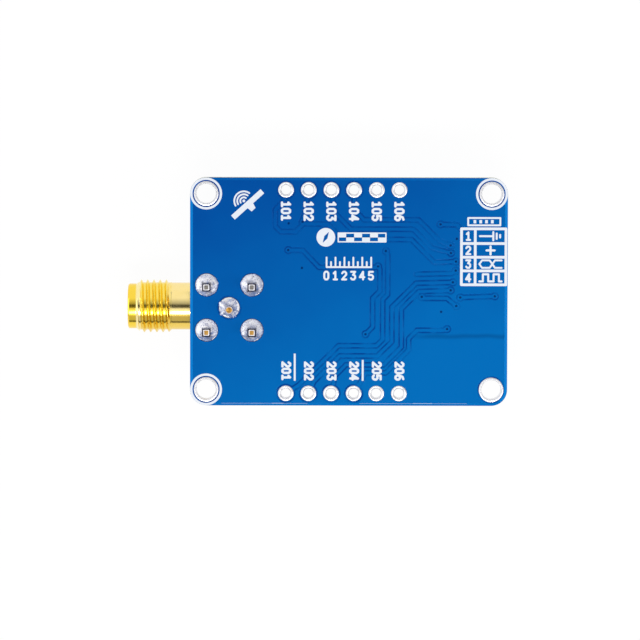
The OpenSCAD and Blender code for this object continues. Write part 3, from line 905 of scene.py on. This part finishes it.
# Painted highlights, drawn in the white print, where the mask steps down over the copper's lower edge: both
# ends and height
PAINTED_GLINT_Y = -12.56
PAINTED_EDGE_GLINTS = [
    (-14.3, -4.6, 0.014), (1.2, 13.3, 0.014), (-11, -9.7, 0.02), (-8.6, -7.3, 0.035), (7.2, 9.4, 0.03),
]
RING_INNER = 1.53
RING_OUTER = 1.79
UPPER_FIRST = 101
LOWER_FIRST = 201
UPPER_LABEL_TOP = 10.07
back_print = [ring(hole, RING_INNER, RING_OUTER) for hole in HOLES[:3]]
back_print += pin_numbers(UPPER_FIRST, UPPER_PADS, -0.45, UPPER_LABEL_TOP, 0.9, (1, 0))
back_print += pin_numbers(LOWER_FIRST, LOWER_PADS, -0.37, -7.93, 0.86, (1, 0))
back_print += satellite() + compass_and_scale() + small_ruler() + socket_table() + socket_sign()
back_print += [rectangle(x - BAR_HALF, BAR_FOOT, x + BAR_HALF, top) for x, top in BARS]
# Painted highlights along the lower edge, made as part of the print
back_print += [rectangle(first, PAINTED_GLINT_Y, last, PAINTED_GLINT_Y + height) for first, last, height in PAINTED_EDGE_GLINTS]
print_sheet("print_back", 1, back_print)


def lining_profile(hole, outer, dome, funnel):
    """Section of a plated hole: a domed ring on each face, a funnel into the hole and the wall between."""
    width = outer - hole
    crown = BACK_Z + PLATING
    upper = [(outer, BACK_Z), (outer, BACK_Z + 0.6 * PLATING), (outer - 0.2 * width, crown + 0.7 * dome),
             (outer - 0.45 * width, crown + dome), (hole + funnel, crown + 0.6 * dome),
             (hole + 1.1 * PLATING, BACK_Z + 0.2 * PLATING), (hole, BACK_Z - 2 * PLATING)]
    lower = [(r, FRONT_Z - (z - BACK_Z)) for r, z in reversed(upper)]
    return upper + lower + [(hole + PLATING, FRONT_Z), (hole + PLATING, BACK_Z)]


def linings(name, node, places, profile):
    form = Form()
    for place in places:
        form.revolve(profile, place, HOLE_STEPS)
    form.piece(name, "tin", [TIN], [node], crease=50)


HOLE_PROFILE = lining_profile(HOLE_R, HOLE_RING_R, dome=0.005, funnel=0.06)
HEADER_PROFILE = lining_profile(HEADER_R, PAD_R, dome=0.03, funnel=0.13)
linings("mounting_hole_rings", "mounting_hole_linings", HOLES, HOLE_PROFILE)
linings("upper_header_rings", "upper_header_linings", UPPER_PADS, HEADER_PROFILE)
linings("lower_header_rings", "lower_header_linings", LOWER_PADS, HEADER_PROFILE)


# Antenna jack: turned barrel with a real helix, cast block, square legs
BLOCK_TOP = FRONT_Z - PLATING
THREAD_R = MOUNTS["antenna_thread"]["dims"]["r_mm"]
MOUTH_R = MOUNTS["antenna_mouth"]["dims"]["r_mm"]
MOUTH_DEPTH = MOUNTS["antenna_mouth"]["dims"]["length_mm"]
CAP_LOW, CAP_HIGH = box_mm("jack_rear_cap")
BORE_R = (CAP_HIGH.y - CAP_LOW.y) / 2
NOSE_R = THREAD_R - 0.52
REAR_R = THREAD_R - 0.4
NOSE_L = 0.95
THREAD_START = NOSE_L + THREAD_R - NOSE_R
THREAD_END = THREAD_START + MOUNTS["antenna_thread"]["dims"]["length_mm"]
# 36 turns an inch
THREAD_PITCH = 25.4 / 36
CREST_R = THREAD_R - 0.08
ROOT_R = REAR_R + 0.02
CREST_FLAT = 0.1
ROOT_FLAT = 0.34
FIRST_CREST = TIP_X + 1.48
# The barrel without its grooves: places past the tip, and the radius at each
BARREL_X = [0, 0.05, 0.15, NOSE_L, THREAD_START, THREAD_END, THREAD_END + 0.4]
BARREL_R = [NOSE_R - 0.15, NOSE_R - 0.07, NOSE_R, NOSE_R, THREAD_R, THREAD_R, REAR_R]
BARREL_STEPS = 112
ROWS_A_PITCH = 20
BARREL_SUNK = 0.4
BLOCK_CHAMFER = 0.6
BLOCK_ROUND = 0.14
RECESS_L = 4
LEG_HALF = 0.455


def barrel_radius(x, turn):
    """Outer radius of the barrel at a place along its axis and round it."""
    past_tip = x - TIP_X
    envelope = np.interp(past_tip, BARREL_X, BARREL_R)
    phase = (x - FIRST_CREST) / THREAD_PITCH - turn / (2 * math.pi)
    from_crest = abs(phase - round(phase))
    fall = (from_crest - CREST_FLAT / 2) / (0.5 - CREST_FLAT / 2 - ROOT_FLAT / 2)
    thread = CREST_R - (CREST_R - ROOT_R) * min(max(fall, 0), 1)
    if past_tip > THREAD_END:
        return float(max(REAR_R, min(envelope, thread)))
    return float(max(min(envelope, thread), min(envelope, NOSE_R)))


def barrel(form):
    """The barrel: outer face with the thread, mouth and seat, closed inside the block."""
    turns = full_turn(BARREL_STEPS)

    def circle(x, radii):
        return [(x, AXIS.y + r * math.cos(a), AXIS.z + r * math.sin(a)) for a, r in zip(turns, radii)]

    fine = THREAD_PITCH / ROWS_A_PITCH
    end = BLOCK_FRONT + BARREL_SUNK
    stations = [TIP_X + past for past in (0, 0.05, 0.1, 0.15, 0.5, NOSE_L - 0.04)]
    count = int((THREAD_END + 0.5 - NOSE_L) / fine)
    stations += [TIP_X + NOSE_L + fine * i for i in range(count + 1)]
    stations += [BLOCK_FRONT - 1.5, BLOCK_FRONT, end]
    rings = [circle(x, [barrel_radius(x, a) for a in turns]) for x in stations]
    seat = TIP_X + MOUTH_DEPTH
    inner = [(end, BORE_R), (seat, BORE_R), (seat, MOUTH_R), (TIP_X + 0.12, MOUTH_R), (TIP_X, MOUTH_R + 0.1)]
    rings += [circle(x, [radius] * BARREL_STEPS) for x, radius in inner]
    form.loft(rings, wrap=True)


def work_object(name, work):
    """A short-lived object from a mesh under work, in millimetres."""
    mesh = bpy.data.meshes.new(name)
    work.to_mesh(mesh)
    work.free()
    return new_object(name, mesh)


def block(form):
    """The block: a chamfered casting with softened edges and a recess for the rear cap."""
    half = BLOCK_W / 2
    foot = SHELL_LOW.z
    narrow = half - BLOCK_CHAMFER
    shoulder = foot + BLOCK_CHAMFER
    section = [(-half, BLOCK_TOP), (half, BLOCK_TOP), (half, shoulder), (narrow, foot), (-narrow, foot),
               (-half, shoulder)]
    rough = Form()
    rough.loft([[(x, AXIS.y + y, z) for y, z in section] for x in (BLOCK_FRONT, SHELL_HIGH.x)])
    mesh = bpy.data.meshes.new("rough_block")
    mesh.from_pydata(rough.points, [], rough.faces)
    work = bmesh.new()
    work.from_mesh(mesh)
    bmesh.ops.recalc_face_normals(work, faces=work.faces)
    bmesh.ops.bevel(work, geom=work.edges, offset=BLOCK_ROUND, segments=3, profile=0.5, affect="EDGES")
    casting = work_object("block_work", work)
    cut = bmesh.new()
    middle = Matrix.Translation((CAP_LOW.x + RECESS_L / 2, AXIS.y, AXIS.z))
    bmesh.ops.create_cone(cut, cap_ends=True, segments=HOLE_STEPS, radius1=BORE_R, radius2=BORE_R,
                          depth=RECESS_L, matrix=middle @ Matrix.Rotation(math.pi / 2, 4, "Y"))
    cutter = work_object("recess_work", cut)
    carve = casting.modifiers.new("recess", "BOOLEAN")
    carve.object = cutter
    carve.solver = "EXACT"
    depsgraph = bpy.context.evaluated_depsgraph_get()
    result = casting.evaluated_get(depsgraph).to_mesh()
    form.add([tuple(v.co) for v in result.vertices], [list(p.vertices) for p in result.polygons])
    bpy.data.objects.remove(casting)
    bpy.data.objects.remove(cutter)


def square_ring(centre, half, cut, z):
    """A square with its corners cut, as eight points at one height."""
    corners = [(half, half - cut), (half - cut, half), (cut - half, half), (-half, half - cut),
               (-half, cut - half), (cut - half, -half), (half - cut, -half), (half, cut - half)]
    return [(centre[0] + x, centre[1] + y, z) for x, y in corners]


# Finishes of the jack's body, in the order of its material groups
JACK_FINISHES = [GOLD, TINNED, SHEARED, WORN_GOLD, LEG_RIM_SHADE]
TINNED_GROUP, SHEARED_GROUP, WORN_GROUP, LEG_RIM_SHADE_GROUP = 1, 2, 3, 4


def legs(form):
    """Four square legs through the board, with softened tips."""
    tip = SHELL_HIGH.z
    for joint in JOINTS[:4]:
        centre = leg_place(joint)
        # How far each step is set in, how much of its corners is cut, and its height
        steps = ((0, 0.05, BLOCK_TOP - 0.2), (0, 0.05, tip - 0.1), (0.12, 0.06, tip - 0.02),
                 (0.14, 0.06, tip), (0.2, 0.07, tip), (0.22, 0.07, tip - 0.02))
        rings = [square_ring(centre, LEG_HALF - inset, cut, z) for inset, cut, z in steps]
        form.loft(rings[:2], TINNED_GROUP, caps=False)
        # The bevel ring under each tip is painted dark as shade
        form.loft(rings[1:3], LEG_RIM_SHADE_GROUP, caps=False)
        form.loft(rings[2:], TINNED_GROUP, caps=False)
        form.add(rings[-1], [list(range(8))], SHEARED_GROUP if centre.y > AXIS.y else WORN_GROUP)


shell = Form()
barrel(shell)
block(shell)
legs(shell)
shell.piece("jack_body", "gold", JACK_FINISHES, ["jack_shell"], crease=28)


# Solder joints: lumpy cones round the legs, lopsided because the jack sits off its holes
JOINT_STEPS = 96
JOINT_ROWS = 22
PIN_R = 0.425
JOINT_CORE = 0.3
JOINT_LIP = 0.16
SKIRT_Z = BACK_Z + 0.01
GROUND_ROUGH = 0.08
SIGNAL_ROUGH = 0.34
FIRST_SEED = 3.1
SEED_STEP = 2.7


def joint_edge(heading, radius, rough, seed):
    """How far a joint reaches from its leg, uneven round a pad that the leg isn't in the middle of."""
    shift = Vector((seed, 0, 0))
    ragged = 1 + rough * (noise.noise(heading * 1.7 + shift) + 0.5 * noise.noise(heading * 5 + shift))
    back = heading.y * JACK_PLAY
    return -back + math.sqrt(back * back + (radius * ragged) ** 2 - JACK_PLAY ** 2)


def joint_height(heading, share, top, seed):
    """Height of a joint at a share of the way from its leg to its rim: a steep lip, then a lumpy cone."""
    lump = noise.noise(heading * 1.3 * (1 + share) + Vector((0, seed, share * 2)))
    lip = PLATING + JOINT_LIP * (1 - share ** 7)
    return lip + (top - PLATING - JOINT_LIP) * (1 - share) ** 1.4 * (0.9 + 0.3 * lump)


def flux_share(heading, away, seed):
    """How much painted shade lies on a joint: a smear on some sides and a dark line in the crevice at the
    leg.
    """
    smear = 0.5 + 1.4 * noise.noise(heading * 1.1 + Vector((0, 0, seed)))
    smear = float(np.interp(away, [0, 0.45], [0.6, 0])) * min(max(smear, 0), 1)
    return max(smear, float(np.interp(away, [0, 0.05, 0.1], [0.9, 0.6, 0])))


def solder_joint(node, square, rough, seed):
    """One joint from its pad's rim up to the leg, uneven in outline and height, with painted shade round the
    leg.
    """
    radius = joint_place(node)[1]
    centre = leg_place(node)
    top = box_mm(node)[1].z
    rings = []
    leg_shade = []
    for row in range(JOINT_ROWS + 1):
        share = 1 - row / JOINT_ROWS
        points = []
        for turn in full_turn(JOINT_STEPS):
            heading = Vector((math.cos(turn), math.sin(turn), 0))
            run = JOINT_CORE + (joint_edge(heading, radius, rough, seed) - JOINT_CORE) * share
            point = heading * run
            away = max(abs(point.x), abs(point.y)) - LEG_HALF if square else run - PIN_R
            leg_shade.append(flux_share(heading, away, seed))
            points.append((centre.x + point.x, centre.y + point.y, joint_height(heading, share, top, seed)))
        rings.append(points)
    form = Form()
    form.loft([[(x, y, SKIRT_Z) for x, y, z in rings[0]]] + rings)
    form.values["leg_shade"] = [0.0] * JOINT_STEPS + leg_shade
    form.piece("lump_" + node, "solder", [SOLDER], [node], crease=80)


for index, joint in enumerate(JOINTS):
    square = joint != "signal_solder"
    rough = GROUND_ROUGH if square else SIGNAL_ROUGH
    solder_joint(joint, square, rough, FIRST_SEED + SEED_STEP * index)


def dress(node, material, edge=0.0):
    """Gives a CAD node a finish and, by a modifier, softened edges."""
    solid = frame["nodes"][node]
    for slot in solid.material_slots:
        slot.material = material
    if edge:
        bevel = solid.modifiers.new("soft_edges", "BEVEL")
        bevel.width = edge * MM
        bevel.segments = 2
        bevel.limit_method = "ANGLE"
        bevel.angle_limit = math.radians(40)


# CAD nodes that are seen as they are
dress("circuit_board", BOARD)
dress("jack_hole_linings", TIN)
dress("jack_insulator", PTFE)
dress("jack_pin_insulator", PTFE)
dress("jack_contact", contact_finish(), 0.03)
dress("jack_rear_cap", CAP_GOLD, 0.12)
dress("receiver_carrier", CARRIER, 0.03)
dress("receiver_solder", SOLDER)
dress("receiver_shield", CAN, 0.12)
dress("receiver_chip", BLACK_CASE, 0.04)
dress("reference_oscillator", CAN, 0.04)
dress("antenna_filter", PTFE, 0.03)
dress("socket_housing", HOUSING, 0.06)
SOCKET_CONTACTS = [f"socket_contact_{i}" for i in range(1, 5)]
for node in SOCKET_CONTACTS + ["socket_anchor_1", "socket_anchor_2"]:
    dress(node, TIN, 0.03)

# Small parts: node, the two colours of its body and the axis between its ends
CAPACITOR = ((176, 140, 96), (150, 116, 76))
INDUCTOR = ((70, 72, 78), (52, 54, 60))
RESISTOR = ((30, 30, 34), (22, 22, 26))
GREEN_LENS = ((206, 232, 196), (184, 220, 172))
CLEAR_LENS = ((226, 232, 226), (206, 216, 208))
SMALL_PARTS = [
    ("antenna_capacitor", CAPACITOR, "X"), ("bias_inductor", INDUCTOR, "Y"),
    ("bypass_capacitor_1", CAPACITOR, "Y"), ("bypass_capacitor_2", CAPACITOR, "Y"),
    ("bypass_capacitor_3", CAPACITOR, "Y"), ("pull_up_resistor_1", RESISTOR, "X"),
    ("pull_up_resistor_2", RESISTOR, "X"), ("lamp_resistor_1", RESISTOR, "X"),
    ("lamp_resistor_2", RESISTOR, "X"), ("power_lamp", GREEN_LENS, "X"), ("pulse_lamp", CLEAR_LENS, "X"),
]
for node, (body, edge), axis in SMALL_PARTS:
    dress(node, chip_part(node + "_finish", body, edge, axis), 0.04)

# Pads and solder fillets under the parts
PAD_TOP = 0.04
PAD_ROOM = 0.05
END_REACH = 0.35
FILLET_STEPS = 6
FILLET_START = 0.05
FILLET_STOP = 0.04
FILLET_SINK = 0.01
RIM_INSET = 0.03
RIM_TAPER = 0.06
# Share of a part's height that its fillets climb, less at the lamps and their resistors
CLIMB = 0.6
LAMP_CLIMB = 0.35


class Ends:
    """Pads and fillets on the component side, gathered part by part."""

    def __init__(self):
        self.pads = []
        self.form = Form()

    def add(self, foot, along, width, inner, reach, height):
        """A pad under an end that faces along a direction, and the fillet that joins them."""
        along = np.array(along, float)
        across = np.array([-along[1], along[0]])
        foot = np.array(foot, float)
        half = width / 2 + PAD_ROOM
        places = ((-inner, -half), (reach, -half), (reach, half), (-inner, half))
        corners = [foot + along * ahead + across * aside for ahead, aside in places]
        self.pads.append(Convex(corners))
        low = FRONT_Z - PAD_TOP
        self.form.loft([[(x, y, z) for x, y in corners] for z in (FRONT_Z, low)])
        rings = []
        for i in range(FILLET_STEPS + 1):
            share = i / FILLET_STEPS
            middle = foot + along * ((reach - FILLET_STOP) * share - FILLET_START)
            z = low - height * (1 - share) ** 2
            rim = half - RIM_INSET - RIM_TAPER * (1 - share)
            side_z = FRONT_Z - FILLET_SINK
            section = ((-half, side_z), (-rim, z), (rim, z), (half, side_z))
            rings.append([(*(middle + across * aside), level) for aside, level in section])
        self.form.loft(rings)


ends = Ends()
for node, _, axis in SMALL_PARTS:
    low, high = box_mm(node)
    tall = (high.z - low.z) * (LAMP_CLIMB if "lamp" in node else CLIMB)
    main = "XY".index(axis)
    for sign in (-1, 1):
        foot = [(low.x + high.x) / 2, (low.y + high.y) / 2]
        foot[main] += sign * (high[main] - low[main]) / 2
        along = [0, 0]
        along[main] = sign
        ends.add(foot, along, high[1 - main] - low[1 - main], END_REACH, END_REACH, tall)
CARRIER_LOW, CARRIER_HIGH = box_mm("receiver_carrier")
EDGE_PITCH = 1.1
EDGE_SIDE = 4
EDGE_STEPS = range(-EDGE_SIDE, EDGE_SIDE + 1)
EDGE_Y = [(CARRIER_LOW.y + CARRIER_HIGH.y) / 2 + i * EDGE_PITCH for i in EDGE_STEPS]
for y in EDGE_Y:
    for x, sign in ((CARRIER_LOW.x, -1), (CARRIER_HIGH.x, 1)):
        ends.add((x, y), (sign, 0), width=0.6, inner=0.1, reach=0.45, height=0.5)
CONTACT_FEET = []
for node in SOCKET_CONTACTS:
    low, high = box_mm(node)
    CONTACT_FEET.append((low.x, (low.y + high.y) / 2))
    ends.add(CONTACT_FEET[-1], (-1, 0), width=0.36, inner=0.9, reach=0.22, height=0.15)
for node, sign in (("socket_anchor_1", -1), ("socket_anchor_2", 1)):
    low, high = box_mm(node)
    outer = high.y if sign > 0 else low.y
    ends.add(((low.x + high.x) / 2, outer), (0, sign), width=1.4, inner=0.7, reach=0.3, height=0.2)
ends.form.piece("component_fillets", "solder", [SOLDER], crease=50)

# Component-side mask: short runs from part to part and to the vias that the other face shows
FRONT_RUNS = [
    [(-12.6, -1.79), (-9.0, -1.79)],
    [(-7.0, -1.79), (-6.4, EDGE_Y[2]), (-6.0, EDGE_Y[2])],
    [(-7.99, -0.1), (-7.99, -0.8), (-7.0, -1.79)],
    [(-7.99, 1.8), (-7.99, 2.4)],
    [(-7.99, 4.4), (-6.8, 4.68)],
    [(-6.0, EDGE_Y[8]), (-6.8, 4.68)],
    [(-5.2, 7.86), (-6.2, 6.86), (-6.2, EDGE_Y[8])],
    [(-6.76, 7.68), (-9.4, 5.0), (-9.4, 1.6), (-7.99, 0.2)],
    [(-6.1, EDGE_Y[0]), (-6.7, -4.8), (-6.7, -9.8), LOWER_PADS[0]],
    [(-6.1, EDGE_Y[1]), (-7.6, -4.6), (-7.6, -6.4)],
    [(11.39, 5.24), CONTACT_FEET[3]],
    [(11.44, 4.39), CONTACT_FEET[2]],
    [(12.0, 3.44), CONTACT_FEET[1]],
    [(11.98, 2.42), CONTACT_FEET[0]],
    [(10.8, 5.15), (11.39, 5.24)],
    [(10.8, 2.55), (11.98, 2.42)],
    [(8.9, 5.15), (8.3, 4.55), (8.3, 3.15), (8.9, 2.55)],
    [(10.8, -5.6), (11.1, -5.9), (11.1, -7.9), (10.8, -8.2)],
    [(13.4, -5.6), (13.7, -5.9), (13.7, -7.9), (13.4, -8.2)],
    [(8.8, -5.6), (8.18, -5.0), (8.18, -0.54)],
    [(11.4, -5.6), (11.03, -5.2), (11.03, -4.15)],
    [(4.3, EDGE_Y[5]), (5.35, 1.25)],
    [(4.3, EDGE_Y[6]), (5.35, 1.9)],
    [(4.3, EDGE_Y[2]), (10.14, EDGE_Y[2]), (10.36, -2.22)],
    [(4.3, EDGE_Y[1]), (6.4, EDGE_Y[1]), (7.2, -3.9), (7.2, -8.0)],
    [(4.3, EDGE_Y[0]), (5.65, -5.5), LOWER_PADS[5]],
    [(4.14, 4.6), (5.8, 4.6), (7.1, 5.9), (7.1, 6.8)],
    [UPPER_PADS[5], (5.65, 9.6), (7.65, 7.6), (10.25, 7.6)],
    [(8.8, -8.2), (8.2, -8.2), (7.2, -9.2), (6.2, -10.2)],
]
mask_skin("solder_mask_front", -1, FRONT_RUNS, VIAS, islands + ends.pads, openings + ends.pads)

# Component-side print: rings, numbers, outlines round the parts, a dot and two plus signs
OUTLINE_ROOM = 0.52
front_print = [ring(hole, RING_INNER, RING_OUTER) for hole in HOLES]
front_print += pin_numbers(UPPER_FIRST, UPPER_PADS, 0.45, UPPER_LABEL_TOP, 0.9, (-1, 0))
front_print += pin_numbers(LOWER_FIRST, LOWER_PADS, 0.45, -8.28, 0.9, (-1, 0))
for node, _, _ in SMALL_PARTS:
    low, high = box_mm(node)
    front_print += frame_lines(low.x - OUTLINE_ROOM, low.y - OUTLINE_ROOM,
                               high.x + OUTLINE_ROOM, high.y + OUTLINE_ROOM, 0.12)
front_print.append(disc((CARRIER_HIGH.x + 0.9, CARRIER_HIGH.y + 0.3), 0.22))
for node in ("power_lamp", "pulse_lamp"):
    low, high = box_mm(node)
    front_print += plus_sign((low.x + high.x) / 2, low.y - 1.1, 0.35, 0.18)
print_sheet("print_front", -1, front_print)


# Floor, world, lamps and camera, in metres
FLOOR_HALF = 3.0
FLOOR_PAPER = (0.06, 0.06, 0.06, 1)
FLOOR_GLOW = 0.95
FLOOR_BOUNCE = 0.75
SOFT_LIGHT = 0.6
GAP_TILT = math.radians(2.5)
GAP_INNER = math.radians(8)
GAP_OUTER = math.radians(13)
DARKEST = 0.02


def flat_square(name, half, z):
    mesh = bpy.data.meshes.new(name)
    corners = [(-half, -half, z), (half, -half, z), (half, half, z), (-half, half, z)]
    mesh.from_pydata(corners, [], [[0, 1, 2, 3]])
    return new_object(name, mesh)


def floor_material():
    """A white sweep: it glows for the camera, takes a soft shadow and can't be seen from below."""
    material = bpy.data.materials.new("studio_floor")
    material.use_nodes = True
    nodes = Nodes(material.node_tree)
    nodes.tree.nodes.clear()
    paper = nodes.node("BsdfDiffuse", {"Color": FLOOR_PAPER}).outputs["BSDF"]
    glow = nodes.node("Emission", {"Color": WHITE, "Strength": FLOOR_GLOW}).outputs["Emission"]
    seen = nodes.node("AddShader", {0: paper, 1: glow}).outputs["Shader"]
    light = nodes.node("Emission", {"Color": WHITE, "Strength": FLOOR_BOUNCE}).outputs["Emission"]
    by_ray = nodes.node("MixShader", {"Fac": nodes.sight(), 1: light, 2: seen}).outputs["Shader"]
    clear = nodes.node("BsdfTransparent").outputs["BSDF"]
    below = nodes.node("NewGeometry").outputs["Backfacing"]
    by_side = nodes.node("MixShader", {"Fac": below, 1: by_ray, 2: clear}).outputs["Shader"]
    nodes.node("OutputMaterial", {"Surface": by_side})
    return material


floor = flat_square("floor", FLOOR_HALF, CAD_BOX[0].z)
floor.data.materials.append(floor_material())


def window(nodes, source, start, end, soft):
    """1 between two values, falling to 0 at both ends over a soft width."""
    rise = nodes.spread(source, 0, 1, start, start + soft)
    return nodes.times(rise, nodes.spread(source, 1, 0, end - soft, end))


def sky_strength(nodes):
    """White all round; reflections see a dark camera rig overhead, a dim wall and a strip on one side."""
    direction = nodes.node("TexCoord").outputs["Generated"]
    # Each from -1 to 1, and so are the ranges below
    x, y, z = [nodes.part(direction, axis) for axis in "XYZ"]
    gap_middle = (0, math.sin(GAP_TILT), math.cos(GAP_TILT))
    overhead = nodes.node("VectorMath", {0: direction, 1: gap_middle}, operation="DOT_PRODUCT")
    gap = nodes.spread(overhead.outputs["Value"], 0, 1, math.cos(GAP_OUTER), math.cos(GAP_INNER))
    near_side = nodes.spread(y, 1, 0, -0.6, -0.3)
    strip = nodes.times(window(nodes, z, 0.05, 0.23, 0.03), near_side)
    wall = nodes.times(near_side, nodes.spread(z, 0.4, 0, 0.66, 0.72))
    fall = nodes.times(nodes.spread(y, 0, 1, 0.0, 0.06), nodes.spread(y, 0.8, 0, 0.1, 0.68))
    rig = nodes.times(fall, window(nodes, x, -0.3, 0.9, 0.15))
    end_wall = nodes.times(nodes.spread(x, 0, 1, 0.3, 0.6), nodes.spread(z, 0.5, 0, 0, 0.65))
    dark = nodes.highest(gap, rig, strip, wall, end_wall)
    mirrored = nodes.times(dark, nodes.node("LightPath").outputs["Is Glossy Ray"])
    return nodes.spread(mirrored, 1, DARKEST)


def studio_world():
    """White to the eye and, but for some dark parts, in reflections; surfaces get soft light."""
    world = bpy.data.worlds.new("studio")
    bpy.context.scene.world = world
    world.use_nodes = True
    world.cycles.sampling_method = "NONE"
    nodes = Nodes(world.node_tree)
    nodes.tree.nodes.clear()
    soft = nodes.node("Background", {"Color": WHITE, "Strength": SOFT_LIGHT}).outputs["Background"]
    white = nodes.node("Background", {"Color": WHITE, "Strength": sky_strength(nodes)}).outputs["Background"]
    by_ray = nodes.node("MixShader", {"Fac": nodes.sight(), 1: soft, 2: white})
    nodes.node("OutputWorld", {"Surface": by_ray.outputs["Shader"]})


def area_light(name, tilt, heading, distance, width, depth, power):
    """A soft box that faces the board, tilted from straight up towards a heading, both in degrees."""
    data = bpy.data.lights.new(name, "AREA")
    data.shape = "RECTANGLE"
    data.size = width
    data.size_y = depth
    data.energy = power
    lamp = new_object(name, data)
    tilt = math.radians(tilt)
    turn = math.radians(heading)
    back = Vector((math.sin(tilt) * math.cos(turn), math.sin(tilt) * math.sin(turn), math.cos(tilt)))
    lamp.location = back * distance
    lamp.rotation_mode = "QUATERNION"
    lamp.rotation_quaternion = back.to_track_quat("Z", "Y")


studio_world()
area_light("key_box", tilt=31, heading=-90, distance=0.6, width=0.32, depth=0.13, power=1.2)
area_light("side_box", tilt=55, heading=-20, distance=0.7, width=0.3, depth=0.3, power=0.8)
area_light("left_box", tilt=80, heading=180, distance=0.6, width=0.5, depth=0.16, power=0.5)

CAMERA_TILT = math.radians(3.9)
CAMERA_ROLL = math.radians(0.126)
CAMERA_DISTANCE = 0.48
AIM = Vector((-3.223, -3.170, 0)) * MM
camera_data = bpy.data.cameras.new("camera")
camera_data.sensor_width = 36
camera_data.lens = 240.7
camera = new_object("camera", camera_data)
camera.matrix_world = (
    Matrix.Translation(AIM + CAMERA_DISTANCE * Vector((0, math.sin(CAMERA_TILT), math.cos(CAMERA_TILT))))
    @ Matrix.Rotation(-CAMERA_TILT, 4, "X")
    @ Matrix.Rotation(CAMERA_ROLL, 4, "Z")
)
bpy.context.scene.camera = camera
bpy.context.scene.view_settings.view_transform = "Standard"
